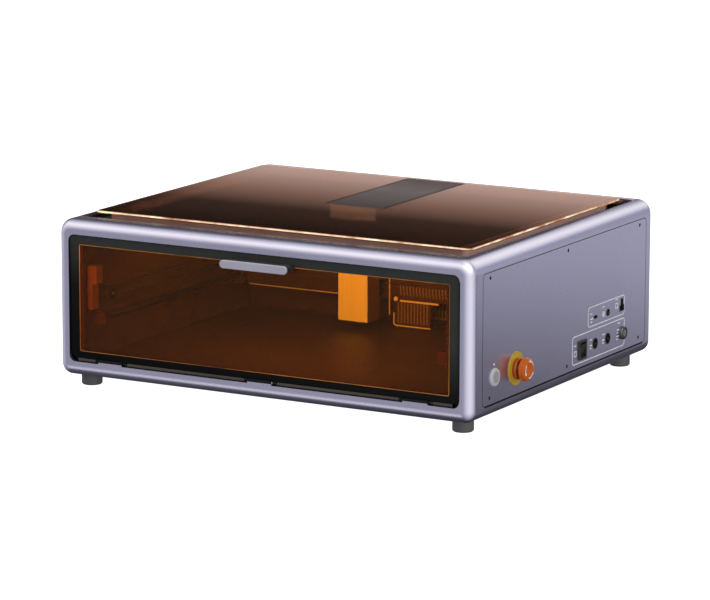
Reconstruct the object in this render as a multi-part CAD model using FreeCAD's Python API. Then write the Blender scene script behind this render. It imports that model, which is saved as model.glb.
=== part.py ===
import FreeCAD, Part
import math
import os

from FreeCAD import Vector

# Enclosed desktop laser cutter. Millimetres, +Z up, front towards -Y, sockets on +X.
# The parts are laid out with y = 0 on the front face and z = 0 on the table. place() moves
# them so that the origin is the middle of the footprint, on the table.

# ---- driving dimensions ----------------------------------------------------------------
BODY_W = 568.0            # casing width
BODY_D = 487.0            # casing depth
BODY_Z0 = 15.0            # underside of the casing
BODY_Z1 = 208.3           # top face of the casing
WALL = 4.0                # casing wall
EDGE_R = 12.5             # rounding round the front and back faces
LONG_R = 18.0             # rounding of the upper edges that run front to back
LOW_R = 14.0              # rounding of the lower edges that run front to back
HALF_W = BODY_W / 2

DOOR_X = 267.2            # half width of the door
DOOR_Z0 = 38.6
DOOR_Z1 = 189.2
DOOR_Y0 = 1.9             # front face of the door, just inside the casing's face
DOOR_T = 6.0
DOOR_R = 7.5              # door corner radius
WINDOW_X = 254.0
WINDOW_Z0 = 46.4
WINDOW_Z1 = 178.2
REBATE = 4.0              # overlap of the window behind the door frame
REBATE_LOW = 3.0          # the same along the bottom
REBATE_Y = DOOR_Y0 + 2.0  # front of the rebate
DOOR_GAP = 0.9
DOORWAY_Z0 = 33.0         # bottom of the casing's front opening
SILL_X = 257.0
SILL_Y = [2.5, 6.0]
SILL_GAP = 6.5            # from a hinge tab to the sill strips beside it

HINGE_Y = 2.8             # door hinge axis
HINGE_Z = 35.8
HINGE_PIN_R = 1.1
TAB_W = 33.0              # casing tabs that carry the door hinge pins
TAB_X = [-210.0, 0.0, 210.0]
TAB_T = 5.6
TAB_TOP = HINGE_Z + 2.4
TAB_ROUND = 2.3

HANDLE_X = 3.0
HANDLE_Z = 177.6
HANDLE_W = 92.0
HANDLE_H = 10.0
HANDLE_REACH = 21.0       # from the door's face to the front of the handle
HANDLE_CAP_T = 2.5

WELL_X = 267.5            # half width of the recess round the lid
WELL_Y0 = 26.0
WELL_Y1 = 465.0
WELL_R = 9.0
DECK_Z0 = 196.0
DECK_Z1 = 198.5
DECK_X = 275.5
DECK_Y1 = 470.0
DECK_SEAM = 0.2
DECK_RIM = 3.0            # outside of the deck's upstand, from the lid's recess
DECK_RIM_GAP = 0.6        # inside of the deck's upstand, from the lid's recess
MOUTH_X0 = -238.0         # opening in the deck, over the work chamber
MOUTH_X1 = 236.0
MOUTH_Y0 = 70.0
MOUTH_Y1 = 398.0

LID_X = 258.0             # half width of the lid pane
LID_Y0 = 45.7
LID_Y1 = 445.3
LID_Z0 = 210.0
LID_Z1 = 213.0
LID_R = 6.0
RIM_X = 246.0
RIM_Y0 = 57.5
RIM_Y1 = 433.0
RIM_Z0 = 200.0
RIM_T = 3.0
LID_AXIS_Y = 451.0
LID_AXIS_Z = 205.0
LID_PIN_R = 1.5
KNUCKLE_R = 4.0
KNUCKLE_X0 = 243.0
KNUCKLE_X1 = 259.0
EAR_T = 4.0               # ears of the lid hinge brackets
EAR_GAP = 0.5
CAMERA_X = -4.0           # camera under the lid
CAMERA_Y = 262.0

PANEL_Y0 = 27.8           # side panels
PANEL_Y1 = 464.5
PANEL_Z0 = 31.4
PANEL_Z1 = 187.6
PANEL_T = 2.0
PANEL_GAP = 0.4
PANEL_R = 6.0
LEDGE = 9.0               # width of the casing's ledge behind the rear panel
SIDE_LEDGE = 5.0          # width of the ledge behind each side panel
BOTTOM_FLANGE = 20.0      # from the feet's middles to the opening in the casing's bottom
SCREW_Y = [45.4, 247.4, 446.3]
SCREW_Z = [39.1, 181.1]
SCREW_R = 2.1
SCREW_L = 5.0
SCREW_SINK = 0.5          # screw heads below the panel's face
SCREW_SOCKET = 1.0        # radius and depth of the hexagon well in a screw
SCREW_HOLE = 0.1          # radial room round a screw in its panel

REAR_X = 252.0            # rear panel, half width
REAR_Z0 = 36.0
REAR_Z1 = 186.0
REAR_SCREW_X = [-244.0, 0.0, 244.0]
REAR_SCREW_Z = [43.0, 179.0]
VENT_COUNT = 9            # upright slots in the rear panel
VENT_X0 = -215.0
VENT_PITCH = 12.0
VENT_W = 5.0
VENT_Z = [70.0, 140.0]

FOOT_R = 12.8
FOOT_X = 256.8
FOOT_Y = [32.0, 451.3]
FOOT_CHAMFER = 1.5
FOOT_WELL = 5.0           # radius and depth of the screw's well under a foot

FLOOR_Z0 = BODY_Z0 + WALL     # base plate on the casing's bottom flange
FLOOR_Z1 = FLOOR_Z0 + 2.0
FLOOR_X = 262.0
FLOOR_Y = [18.0, 469.0]
BED_Z0 = 33.0
BED_Z1 = 36.0
BED_HOLE_R = 1.6
BED_HOLE_PITCH = 30
SUPPORT_X = [-230.0, -115.0, 0.0, 115.0, 218.0]   # channels under the bed
SUPPORT_HALF = 6.0
SUPPORT_T = 1.5
LIGHT_X = 150.0           # light bar under the deck, half length
LIGHT_Y = [60.0, 68.0]
LIGHT_Z0 = 189.0
LEFT_WALL = -252.0        # inner faces of the work chamber
RIGHT_WALL = 244.0
REAR_WALL = 404.0
LINER_T = 2.0
FRAME_Y0 = 12.0           # inner door frame
FRAME_Y1 = 14.5
FRAME_X = 270.0           # half width of the inner door frame
FRAME_OPEN_X = 250.0      # half width of its opening
FRAME_OPEN_Z = [43.0, 183.0]
SEAL_X = 257.5            # outside of the door's seal
SEAL_Z = [40.0, 186.0]
SEAL_Y0 = 8.4
SEAL_W = 3.0

GANTRY_Y = 372.0          # middle of the cross beam
BEAM_Z0 = 72.0
BEAM_Z1 = 102.0
BEAM_HALF = 10.0
ROD_X = [-240.0, 232.0]
ROD_Z = 84.0
ROD_R = 4.0
RUN_FIT = 0.08            # radial running clearance

BELT_Z = 112.0            # axis height of the front-to-back belts
PULLEY_R = 6.0
FLANGE_R = 8.0            # flanges of the belt pulleys
SHAFT_R = 2.5
IDLER_PIN_R = 2.0
IDLER_FIT = 0.06          # radial room of an idler on its pin
BELT_R = 6.35             # inside radius of the belts
BELT_T = 1.25
BELT_W = 6.0
SHAFT_Y = 394.0
IDLER_Y = 48.0
XBELT_Z = 107.5           # middle of the cross belt
XPULLEY_X = 205.0
XIDLER_X = -213.0
MOTOR_HALF = 21.0         # side motor, half of its square
CROSS_MOTOR_HALF = 17.5

HEAD_X = -51.7            # middle of the laser head
HEAD_Y = 318.0            # front face of the laser head
HEAD_W = 42.7
HEAD_Z0 = 48.2
HEAD_Z1 = 108.3
HEAD_FAN_Y = HEAD_Y + 16.5    # axis of the fan and the beam
NOZZLE_Y = HEAD_Y + 17.0
CARRIAGE_HALF = 22.0

FAN_X = 22.0              # extractor fan
FAN_Z = 92.0
FAN_SIZE = 92.0
FAN_T = 25.0
FAN_BORE = 43.5
SPIGOT_R = 49.0
SPIGOT_REACH = 28.0
SPIGOT_RISE = 18.0        # outlet's axis above the fan's
GRILLE_BARS = 17
GRILLE_PITCH = 5.0
GRILLE_BAR_W = 2.0

ESTOP_Y = 112.5
ESTOP_Z = 62.3
ESTOP_REACH = 18.0
ESTOP_PLATE_R = 19.8
ESTOP_NECK_R = 9.0
POWER_Y = 57.7
POWER_Z = 62.0
ROCKER_Y = 287.8
ROCKER_Z = 52.5
ROCKER_HALF_Y = 8.5       # body of the rocker switch behind the panel
ROCKER_HALF_Z = 10.5
KEY_Y = 400.5
KEY_Z = 53.2
SMALL_JACK = [359.0, 86.0, 4.6]
BIG_JACKS = [[324.0, 53.5, 7.0], [359.0, 53.4, 7.0]]
SLOT_Y = 324.2            # small data socket
SLOT_Z = 86.4
TALL_Y = 398.0            # tall data socket
TALL_Z = 89.0
TALL_HALF_Y = 6.5
TALL_HALF_Z = 8.0
TALL_STEP = 3.0           # the socket is narrower above this step

ORIGIN = Vector(ESTOP_REACH / 2, (BODY_D + SPIGOT_REACH - HANDLE_REACH + DOOR_Y0) / 2, 0)

X = Vector(1, 0, 0)
Y = Vector(0, 1, 0)
Z = Vector(0, 0, 1)


# ---- helpers ---------------------------------------------------------------------------
def block(x0, x1, y0, y1, z0, z1):
    return Part.makeBox(x1 - x0, y1 - y0, z1 - z0, Vector(x0, y0, z0))


def rod(r, start, direction, length):
    return Part.makeCylinder(r, length, start, direction)


def tube(r_out, r_in, start, direction, length):
    return rod(r_out, start, direction, length).cut(rod(r_in, start, direction, length))


def is_along(edge, direction):
    if not isinstance(edge.Curve, (Part.Line, Part.LineSegment)):
        return False
    return abs(abs(edge.tangentAt(edge.FirstParameter).dot(direction)) - 1) < 1e-6


def rounded(shape, direction, r):
    return shape.makeFillet(r, [e for e in shape.Edges if is_along(e, direction)])


def soft_block(x0, x1, y0, y1, z0, z1, direction, r):
    return rounded(block(x0, x1, y0, y1, z0, z1), direction, r)


def edges_on(shape, axis, value):
    found = []
    for edge in shape.Edges:
        if all(abs(getattr(v.Point, axis) - value) < 1e-4 for v in edge.Vertexes):
            found.append(edge)
    return found


def both_sides(shape):
    return shape.fuse(shape.mirror(Vector(0, 0, 0), X))


def revolve(points, base, direction):
    """Turn an outline of [radius, height] points about an axis."""
    corners = [Vector(r, 0, h) for r, h in points]
    face = Part.Face(Part.makePolygon(corners + corners[:1]))
    solid = face.revolve(Vector(0, 0, 0), Z, 360)
    solid.Placement = FreeCAD.Placement(base, FreeCAD.Rotation(Z, direction))
    return solid


# ---- casing ----------------------------------------------------------------------------
def casing_form(inset):
    """The rounded box of the casing, moved in by inset on every side."""
    form = block(-HALF_W + inset, HALF_W - inset, inset, BODY_D - inset,
                 BODY_Z0 + inset, BODY_Z1 - inset)
    long_edges = [e for e in form.Edges if is_along(e, Y)]
    middle = (BODY_Z0 + BODY_Z1) / 2
    form = form.makeFillet(LONG_R - inset, [e for e in long_edges if e.CenterOfMass.z > middle])
    long_edges = [e for e in form.Edges if is_along(e, Y)]
    form = form.makeFillet(LOW_R - inset, [e for e in long_edges if e.CenterOfMass.z < BODY_Z0 + inset + 1])
    ends = edges_on(form, "y", inset) + edges_on(form, "y", BODY_D - inset)
    return form.makeFillet(EDGE_R - inset, ends)


def side_panel_form(grow, x0, x1):
    return soft_block(x0, x1, PANEL_Y0 - grow, PANEL_Y1 + grow,
                      PANEL_Z0 - grow, PANEL_Z1 + grow, X, max(PANEL_R + grow, 2.0))


def rear_panel_form(grow, y0, y1):
    return soft_block(-REAR_X - grow, REAR_X + grow, y0, y1,
                      REAR_Z0 - grow, REAR_Z1 + grow, Y, max(PANEL_R + grow, 2.0))


def make_body_shell():
    shell = casing_form(0).cut(casing_form(WALL))
    doorway = soft_block(-DOOR_X - DOOR_GAP, DOOR_X + DOOR_GAP, -1, WALL + 1,
                         DOORWAY_Z0, DOOR_Z1 + DOOR_GAP, Y, DOOR_R + DOOR_GAP)
    shell = shell.cut(doorway)
    well = soft_block(-WELL_X, WELL_X, WELL_Y0, WELL_Y1, BODY_Z1 - 2 * WALL, BODY_Z1 + 1, Z, WELL_R)
    shell = shell.cut(well)
    recess_x = HALF_W - PANEL_T
    recess = side_panel_form(PANEL_GAP, recess_x, HALF_W + 1)
    recess = recess.fuse(side_panel_form(-SIDE_LEDGE, HALF_W - 2 * WALL, HALF_W))
    for y in SCREW_Y:
        for z in SCREW_Z:
            recess = recess.fuse(rod(SCREW_R, Vector(HALF_W - 2 * WALL, y, z), X, 2 * WALL))
    shell = shell.cut(both_sides(recess))
    shell = shell.cut(rear_panel_form(PANEL_GAP, BODY_D - PANEL_T, BODY_D + 1))
    shell = shell.cut(rear_panel_form(-LEDGE, BODY_D - 2 * WALL, BODY_D))
    for x in REAR_SCREW_X:
        for z in REAR_SCREW_Z:
            shell = shell.cut(rod(SCREW_R, Vector(x, BODY_D - 2 * WALL, z), Y, 2 * WALL))
    bottom = soft_block(-FOOT_X + BOTTOM_FLANGE, FOOT_X - BOTTOM_FLANGE,
                        FOOT_Y[0] + BOTTOM_FLANGE, FOOT_Y[1] - BOTTOM_FLANGE,
                        BODY_Z0 - 1, BODY_Z0 + 2 * WALL, Z, 10)
    shell = shell.cut(bottom)
    for x in TAB_X:
        tab = block(x - TAB_W / 2, x + TAB_W / 2, 0, TAB_T, DOORWAY_Z0 - 2, TAB_TOP)
        top_edges = [e for e in edges_on(tab, "z", TAB_TOP) if is_along(e, X)]
        tab = tab.makeFillet(TAB_ROUND, top_edges)
        tab = tab.cut(rod(HINGE_PIN_R + 0.02, Vector(x - TAB_W / 2, HINGE_Y, HINGE_Z), X, TAB_W))
        shell = shell.fuse(tab)
    return shell.removeSplitter()


def make_base_plate():
    return soft_block(-FLOOR_X, FLOOR_X, FLOOR_Y[0], FLOOR_Y[1], FLOOR_Z0, FLOOR_Z1, Z, 8)


def make_feet():
    feet = []
    for x in (-FOOT_X, FOOT_X):
        for y in FOOT_Y:
            foot = revolve([[0, 0], [FOOT_R - FOOT_CHAMFER, 0], [FOOT_R, FOOT_CHAMFER], [FOOT_R, BODY_Z0],
                            [0, BODY_Z0]], Vector(x, y, 0), Z)
            screw_well = rod(FOOT_WELL, Vector(x, y, 0), Z, FOOT_WELL)
            feet.append(foot.cut(screw_well))
    return Part.Compound(feet)


def make_foot_screws():
    screws = []
    for x in (-FOOT_X, FOOT_X):
        for y in FOOT_Y:
            screws.append(rod(FOOT_WELL - 0.8, Vector(x, y, FOOT_WELL - 2.8), Z, 2.8))
    return Part.Compound(screws)


def make_side_panel(sign):
    panel = side_panel_form(0, HALF_W - PANEL_T, HALF_W)
    for y in SCREW_Y:
        for z in SCREW_Z:
            panel = panel.cut(rod(SCREW_R + SCREW_HOLE, Vector(HALF_W - 3, y, z), X, 4))
    if sign < 0:
        return panel.mirror(Vector(0, 0, 0), X)
    return panel


def stepped_form(grow, x0, x1):
    """Outline of the tall data socket: a wide lower half under a narrower upper half."""
    wide = TALL_HALF_Y + grow
    narrow = TALL_HALF_Y - TALL_STEP + grow
    lower = block(x0, x1, TALL_Y - wide, TALL_Y + wide, TALL_Z - TALL_HALF_Z - grow, TALL_Z + grow)
    upper = block(x0, x1, TALL_Y - narrow, TALL_Y + narrow, TALL_Z - 2, TALL_Z + TALL_HALF_Z + grow)
    return lower.fuse(upper).removeSplitter()


def panel_cut(y, z, r):
    return rod(r, Vector(HALF_W - 3, y, z), X, 4)


def make_right_panel():
    panel = make_side_panel(1)
    panel = panel.cut(panel_cut(POWER_Y, POWER_Z, 8.1))
    panel = panel.cut(panel_cut(ESTOP_Y, ESTOP_Z, ESTOP_NECK_R + 0.1))
    panel = panel.cut(panel_cut(KEY_Y, KEY_Z, 6.1))
    for y, z, r in BIG_JACKS + [SMALL_JACK]:
        panel = panel.cut(panel_cut(y, z, r + 0.05))
    half_y = ROCKER_HALF_Y + 0.1
    half_z = ROCKER_HALF_Z + 0.1
    panel = panel.cut(block(HALF_W - 3, HALF_W + 1, ROCKER_Y - half_y, ROCKER_Y + half_y,
                            ROCKER_Z - half_z, ROCKER_Z + half_z))
    panel = panel.cut(soft_block(HALF_W - 3, HALF_W + 1, SLOT_Y - 5.05, SLOT_Y + 5.05,
                                 SLOT_Z - 2.05, SLOT_Z + 2.05, X, 2.0))
    return panel.cut(stepped_form(0.05, HALF_W - 3, HALF_W + 1))


def make_panel_screws():
    screws = []
    for y in SCREW_Y:
        for z in SCREW_Z:
            for sign in (-1, 1):
                start = Vector(sign * (HALF_W - SCREW_SINK), y, z)
                screw = rod(SCREW_R - 0.05, start, Vector(-sign, 0, 0), SCREW_L)
                socket = rod(SCREW_SOCKET, start, Vector(-sign, 0, 0), SCREW_SOCKET)
                screws.append(screw.cut(socket))
    for x in REAR_SCREW_X:
        for z in REAR_SCREW_Z:
            start = Vector(x, BODY_D - SCREW_SINK, z)
            screw = rod(SCREW_R - 0.05, start, -Y, SCREW_L)
            screws.append(screw.cut(rod(SCREW_SOCKET, start, -Y, SCREW_SOCKET)))
    return Part.Compound(screws)


def make_rear_panel():
    panel = rear_panel_form(0, BODY_D - PANEL_T, BODY_D)
    panel = panel.cut(rod(SPIGOT_R + 0.1, Vector(FAN_X, BODY_D - 3, FAN_Z + SPIGOT_RISE), Y, 4))
    for x in REAR_SCREW_X:
        for z in REAR_SCREW_Z:
            panel = panel.cut(rod(SCREW_R + SCREW_HOLE, Vector(x, BODY_D - 3, z), Y, 4))
    for column in range(VENT_COUNT):
        x = VENT_X0 + column * VENT_PITCH
        panel = panel.cut(soft_block(x, x + VENT_W, BODY_D - 3, BODY_D + 1,
                                     VENT_Z[0], VENT_Z[1], Y, VENT_W / 2 - 0.1))
    return panel


# ---- inner structure -------------------------------------------------------------------
def make_top_deck():
    """Deck round the chamber's mouth, in four flanged strips with a fine seam between them."""
    deck = soft_block(-DECK_X, DECK_X, FRAME_Y1, DECK_Y1, DECK_Z0, DECK_Z1, Z, 6)
    top = BODY_Z1 - WALL - 1.1
    rim = soft_block(-WELL_X - DECK_RIM, WELL_X + DECK_RIM, WELL_Y0 - DECK_RIM, WELL_Y1 + DECK_RIM,
                     DECK_Z1, top, Z, WELL_R + DECK_RIM)
    rim = rim.cut(soft_block(-WELL_X - DECK_RIM_GAP, WELL_X + DECK_RIM_GAP,
                             WELL_Y0 - DECK_RIM_GAP, WELL_Y1 + DECK_RIM_GAP,
                             DECK_Z1, top, Z, WELL_R + DECK_RIM_GAP))
    deck = deck.fuse(rim)
    x0 = MOUTH_X0 - DECK_SEAM
    x1 = MOUTH_X1 + DECK_SEAM
    strips = [
        block(-HALF_W, HALF_W, 0, MOUTH_Y0, DECK_Z0, top),
        block(-HALF_W, HALF_W, MOUTH_Y1, BODY_D, DECK_Z0, top),
        block(-HALF_W, x0, MOUTH_Y0 + DECK_SEAM, MOUTH_Y1 - DECK_SEAM, DECK_Z0, top),
        block(x1, HALF_W, MOUTH_Y0 + DECK_SEAM, MOUTH_Y1 - DECK_SEAM, DECK_Z0, top),
    ]
    return Part.Compound([deck.common(strip).removeSplitter() for strip in strips])


def make_liner(x):
    return block(x, x + LINER_T, FRAME_Y1, REAR_WALL, FLOOR_Z1, DECK_Z0)


def make_right_liner():
    liner = make_liner(RIGHT_WALL)
    return liner.cut(rod(6.0, Vector(RIGHT_WALL, SHAFT_Y - 0.5, BELT_Z), X, LINER_T))


def make_rear_liner():
    liner = block(LEFT_WALL - LINER_T, RIGHT_WALL + LINER_T, REAR_WALL, REAR_WALL + LINER_T,
                  FLOOR_Z1, DECK_Z0)
    return liner.cut(rod(FAN_BORE, Vector(FAN_X, REAR_WALL, FAN_Z), Y, LINER_T))


def make_front_frame():
    frame = block(-FRAME_X, FRAME_X, FRAME_Y0, FRAME_Y1, FLOOR_Z1, DECK_Z0 + 2)
    return frame.cut(soft_block(-FRAME_OPEN_X, FRAME_OPEN_X, FRAME_Y0, FRAME_Y1,
                                FRAME_OPEN_Z[0], FRAME_OPEN_Z[1], Y, 6))


def make_door_seal():
    seal = soft_block(-SEAL_X, SEAL_X, SEAL_Y0, FRAME_Y0, SEAL_Z[0], SEAL_Z[1], Y, 9)
    inner = SEAL_X - SEAL_W
    return seal.cut(soft_block(-inner, inner, SEAL_Y0, FRAME_Y0, SEAL_Z[0] + 4.5, SEAL_Z[1] - 5, Y, 6))


def make_door_sill():
    sill = block(-SILL_X, SILL_X, SILL_Y[0], SILL_Y[1], DOORWAY_Z0, HINGE_Z + 1.7)
    for x in TAB_X:
        reach = TAB_W / 2 + SILL_GAP
        sill = sill.cut(block(x - reach, x + reach, 2, 7, 30, 40))
    return sill


def make_work_bed():
    bed = soft_block(LEFT_WALL + 2, RIGHT_WALL - 2, 20, REAR_WALL - 4, BED_Z0, BED_Z1, Z, 5)
    holes = []
    for x in range(-210, 211, BED_HOLE_PITCH):
        for y in range(60, 361, BED_HOLE_PITCH):
            holes.append(rod(BED_HOLE_R, Vector(x, y, BED_Z0), Z, BED_Z1 - BED_Z0))
    return bed.cut(Part.Compound(holes))


def make_bed_supports():
    rails = []
    inner = SUPPORT_HALF - SUPPORT_T
    for x in SUPPORT_X:
        channel = block(x - SUPPORT_HALF, x + SUPPORT_HALF, 24, REAR_WALL - 8, FLOOR_Z1, BED_Z0)
        hollow = block(x - inner, x + inner, 24, REAR_WALL - 8, FLOOR_Z1, BED_Z0 - SUPPORT_T)
        rails.append(channel.cut(hollow))
    return Part.Compound(rails)


def make_light_bar():
    return soft_block(-LIGHT_X, LIGHT_X, LIGHT_Y[0], LIGHT_Y[1], LIGHT_Z0, DECK_Z0, X, 2)


# ---- door ------------------------------------------------------------------------------
def make_door_frame():
    y1 = DOOR_Y0 + DOOR_T
    frame = soft_block(-DOOR_X, DOOR_X, DOOR_Y0, y1, DOOR_Z0, DOOR_Z1, Y, DOOR_R)
    frame = frame.cut(soft_block(-WINDOW_X, WINDOW_X, DOOR_Y0, y1, WINDOW_Z0, WINDOW_Z1, Y, 2))
    frame = frame.cut(soft_block(-WINDOW_X - REBATE, WINDOW_X + REBATE, REBATE_Y, y1,
                                 WINDOW_Z0 - REBATE_LOW, WINDOW_Z1 + REBATE, Y, 3))
    for x in TAB_X:
        notch = block(x - TAB_W / 2 - 1, x + TAB_W / 2 + 1, DOOR_Y0, y1, DOOR_Z0, HINGE_Z + 3.4)
        frame = frame.cut(notch)
    return frame


def make_door_window():
    gap = 0.2
    pane = soft_block(-WINDOW_X - REBATE + gap, WINDOW_X + REBATE - gap, REBATE_Y, REBATE_Y + 2.5,
                      WINDOW_Z0 - REBATE_LOW + gap, WINDOW_Z1 + REBATE - gap, Y, 3)
    front = soft_block(-WINDOW_X + gap, WINDOW_X - gap, DOOR_Y0 + gap, REBATE_Y,
                       WINDOW_Z0 + gap, WINDOW_Z1 - gap, Y, 2)
    return pane.fuse(front).removeSplitter()


def stadium(width, height, y0, y1):
    form = block(HANDLE_X - width / 2, HANDLE_X + width / 2, y0, y1,
                 HANDLE_Z - height / 2, HANDLE_Z + height / 2)
    return rounded(form, Y, height / 2 - 0.01)


def make_handle_base():
    front = DOOR_Y0 - HANDLE_REACH + HANDLE_CAP_T
    base = stadium(HANDLE_W - 1, HANDLE_H - 1, front, DOOR_Y0)
    # the finger scoop behind the silver cap
    scoop = block(HANDLE_X - HANDLE_W / 2 + 9, HANDLE_X + HANDLE_W / 2 - 9, front + 3, DOOR_Y0 - 4,
                  HANDLE_Z - HANDLE_H, HANDLE_Z - 1)
    return base.cut(rounded(scoop, X, 3))


def make_handle_cap():
    front = DOOR_Y0 - HANDLE_REACH
    cap = stadium(HANDLE_W, HANDLE_H, front, front + HANDLE_CAP_T)
    return cap.makeFillet(0.7, edges_on(cap, "y", front))


def make_door_arms():
    """Hinge arms either side of each casing tab, hung from the door's lower edge."""
    arms = []
    for x in TAB_X:
        for side in (-1, 1):
            x0 = x + side * (TAB_W / 2 + 3) - 2
            eye = rod(1.75, Vector(x0, HINGE_Y, HINGE_Z), X, 4)
            stem = block(x0, x0 + 4, DOOR_Y0, HINGE_Y + 1.75, HINGE_Z, DOOR_Z0)
            arm = eye.fuse(stem)
            arms.append(arm.cut(rod(HINGE_PIN_R + 0.08, Vector(x0, HINGE_Y, HINGE_Z), X, 4)))
    return Part.Compound(arms)


def make_door_pins():
    reach = TAB_W / 2 + 5.5
    return Part.Compound([rod(HINGE_PIN_R, Vector(x - reach, HINGE_Y, HINGE_Z), X, 2 * reach)
                          for x in TAB_X])


def make_door_switch():
    """Safety switch on a stepped bracket inside the left front post."""
    bracket = block(LEFT_WALL, LEFT_WALL + 14, 16, 30, 128, 150)
    return bracket.fuse(block(LEFT_WALL, LEFT_WALL + 8, 16, 30, 96, 128)).removeSplitter()


# ---- lid -------------------------------------------------------------------------------
def make_lid_plate():
    plate = soft_block(-LID_X, LID_X, LID_Y0, LID_Y1, LID_Z0, LID_Z1, Z, LID_R)
    return plate.makeFillet(0.6, edges_on(plate, "z", LID_Z1))


def make_lid_rim():
    rim = soft_block(-RIM_X, RIM_X, RIM_Y0, RIM_Y1, RIM_Z0, LID_Z0, Z, 7)
    return rim.cut(soft_block(-RIM_X + RIM_T, RIM_X - RIM_T, RIM_Y0 + RIM_T, RIM_Y1 - RIM_T,
                              RIM_Z0, LID_Z0, Z, 4))


def make_lid_seal():
    seal = soft_block(-RIM_X + 0.5, RIM_X - 0.5, RIM_Y0 + 0.5, RIM_Y1 - 0.5,
                      DECK_Z1, RIM_Z0 - 0.3, Z, 6.5)
    return seal.cut(soft_block(-RIM_X + 3, RIM_X - 3, RIM_Y0 + 3, RIM_Y1 - 3,
                               DECK_Z1, RIM_Z0 - 0.3, Z, 4))


def make_camera_band():
    return block(-43, 41, 232, RIM_Y1 - RIM_T, LID_Z0 - 0.8, LID_Z0)


def make_camera_housing():
    body = soft_block(-36, 28, 233, 300, 193, LID_Z0 - 0.8, Y, 2)
    channel = block(-14, 10, 300, RIM_Y1 - RIM_T, 202, LID_Z0 - 0.8)
    body = body.fuse(channel)
    return body.cut(rod(9.0, Vector(CAMERA_X, CAMERA_Y, 193), Z, 4)).removeSplitter()


def make_camera_lens():
    lens = rod(8.8, Vector(CAMERA_X, CAMERA_Y, 194.5), Z, 2.5)
    dome = Part.makeSphere(4.5, Vector(CAMERA_X, CAMERA_Y, 195.5), Z, -90, 0, 360)
    return lens.fuse(dome).removeSplitter()


def make_lid_knuckles():
    leaf = rod(KNUCKLE_R, Vector(KNUCKLE_X0, LID_AXIS_Y, LID_AXIS_Z), X, KNUCKLE_X1 - KNUCKLE_X0)
    leaf = leaf.fuse(block(KNUCKLE_X0, KNUCKLE_X1, RIM_Y1 + 1.5, LID_AXIS_Y, 206.5, LID_Z0 - 1))
    leaf = leaf.fuse(block(KNUCKLE_X0, KNUCKLE_X1, RIM_Y1 + 1.5, LID_Y1 - 1, LID_Z0 - 1, LID_Z0))
    bore = rod(LID_PIN_R + 0.06, Vector(KNUCKLE_X0, LID_AXIS_Y, LID_AXIS_Z), X, KNUCKLE_X1 - KNUCKLE_X0)
    leaf = leaf.cut(bore).removeSplitter()
    return Part.Compound([leaf, leaf.mirror(Vector(0, 0, 0), X)])


def make_lid_brackets():
    ears = []
    for x0 in (KNUCKLE_X0 - EAR_T - EAR_GAP, KNUCKLE_X1 + EAR_GAP):
        ear = block(x0, x0 + EAR_T, LID_AXIS_Y - 4, LID_AXIS_Y + 4, DECK_Z1, LID_AXIS_Z)
        ear = ear.fuse(rod(4, Vector(x0, LID_AXIS_Y, LID_AXIS_Z), X, EAR_T))
        ears.append(ear.cut(rod(LID_PIN_R + 0.01, Vector(x0, LID_AXIS_Y, LID_AXIS_Z), X, EAR_T)))
    ears = [e.removeSplitter() for e in ears]
    return Part.Compound(ears + [e.mirror(Vector(0, 0, 0), X) for e in ears])


def make_lid_pins():
    over = EAR_T + EAR_GAP
    pin = rod(LID_PIN_R, Vector(KNUCKLE_X0 - over, LID_AXIS_Y, LID_AXIS_Z), X,
              KNUCKLE_X1 - KNUCKLE_X0 + 2 * over)
    return Part.Compound([pin, pin.mirror(Vector(0, 0, 0), X)])


# ---- motion system ---------------------------------------------------------------------
def make_guide_rods():
    return Part.Compound([rod(ROD_R, Vector(x, 38, ROD_Z), Y, REAR_WALL - 40) for x in ROD_X])


def make_rod_holders():
    holders = []
    for x, wall in zip(ROD_X, (LEFT_WALL, RIGHT_WALL)):
        for y0 in (28, REAR_WALL - 9):
            x0 = min(wall, x - 7)
            x1 = max(wall, x + 7)
            holder = block(x0, x1, y0, y0 + 8.5, ROD_Z - 8, ROD_Z + 8)
            hole = rod(ROD_R + 0.01, Vector(x, 38, ROD_Z), Y, REAR_WALL - 40)
            holders.append(holder.cut(hole))
    return Part.Compound(holders)


def make_gantry_blocks():
    blocks = []
    y0 = GANTRY_Y - 19
    for x, side in zip(ROD_X, (-1, 1)):
        body = soft_block(x - 9, x + 9, y0, y0 + 38, ROD_Z - 11, ROD_Z + 11, Y, 3)
        tower = block(x - 5, x + 5, GANTRY_Y - 8, GANTRY_Y + 8, ROD_Z + 10, BELT_Z - 3)
        low = BELT_Z - BELT_R - BELT_T
        slot = block(x - 3.5, x + 6, GANTRY_Y - 9, GANTRY_Y + 9, low - 0.35, low + BELT_T + 0.35)
        tower = tower.cut(slot)
        body = body.fuse(tower)
        body = body.cut(rod(ROD_R + RUN_FIT, Vector(x, y0, ROD_Z), Y, 38))
        blocks.append(body.removeSplitter())
    return Part.Compound(blocks)


def make_gantry_beam():
    x0 = ROD_X[0] + 9
    x1 = ROD_X[1] - 9
    y0 = GANTRY_Y - BEAM_HALF
    beam = soft_block(x0, x1, y0, y0 + 2 * BEAM_HALF, BEAM_Z0, BEAM_Z1, X, 1.5)
    for z in (BEAM_Z0 + 5, BEAM_Z1 - 8):
        beam = beam.cut(block(x0, x1, y0 + 2 * BEAM_HALF - 4, y0 + 2 * BEAM_HALF, z, z + 3))
    core = block(x0, x1, y0 + 4, y0 + 14, BEAM_Z0 + 9, BEAM_Z1 - 9)
    return beam.cut(core)


def make_cross_rail():
    y1 = GANTRY_Y - BEAM_HALF
    rail = block(ROD_X[0] + 14, ROD_X[1] - 14, y1 - 5, y1, 84, 92)
    groove = block(ROD_X[0] + 14, ROD_X[1] - 14, y1 - 3.5, y1 - 1.5, 83, 85)
    return rail.cut(groove).cut(groove.translated(Vector(0, 0, 8)))


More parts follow.
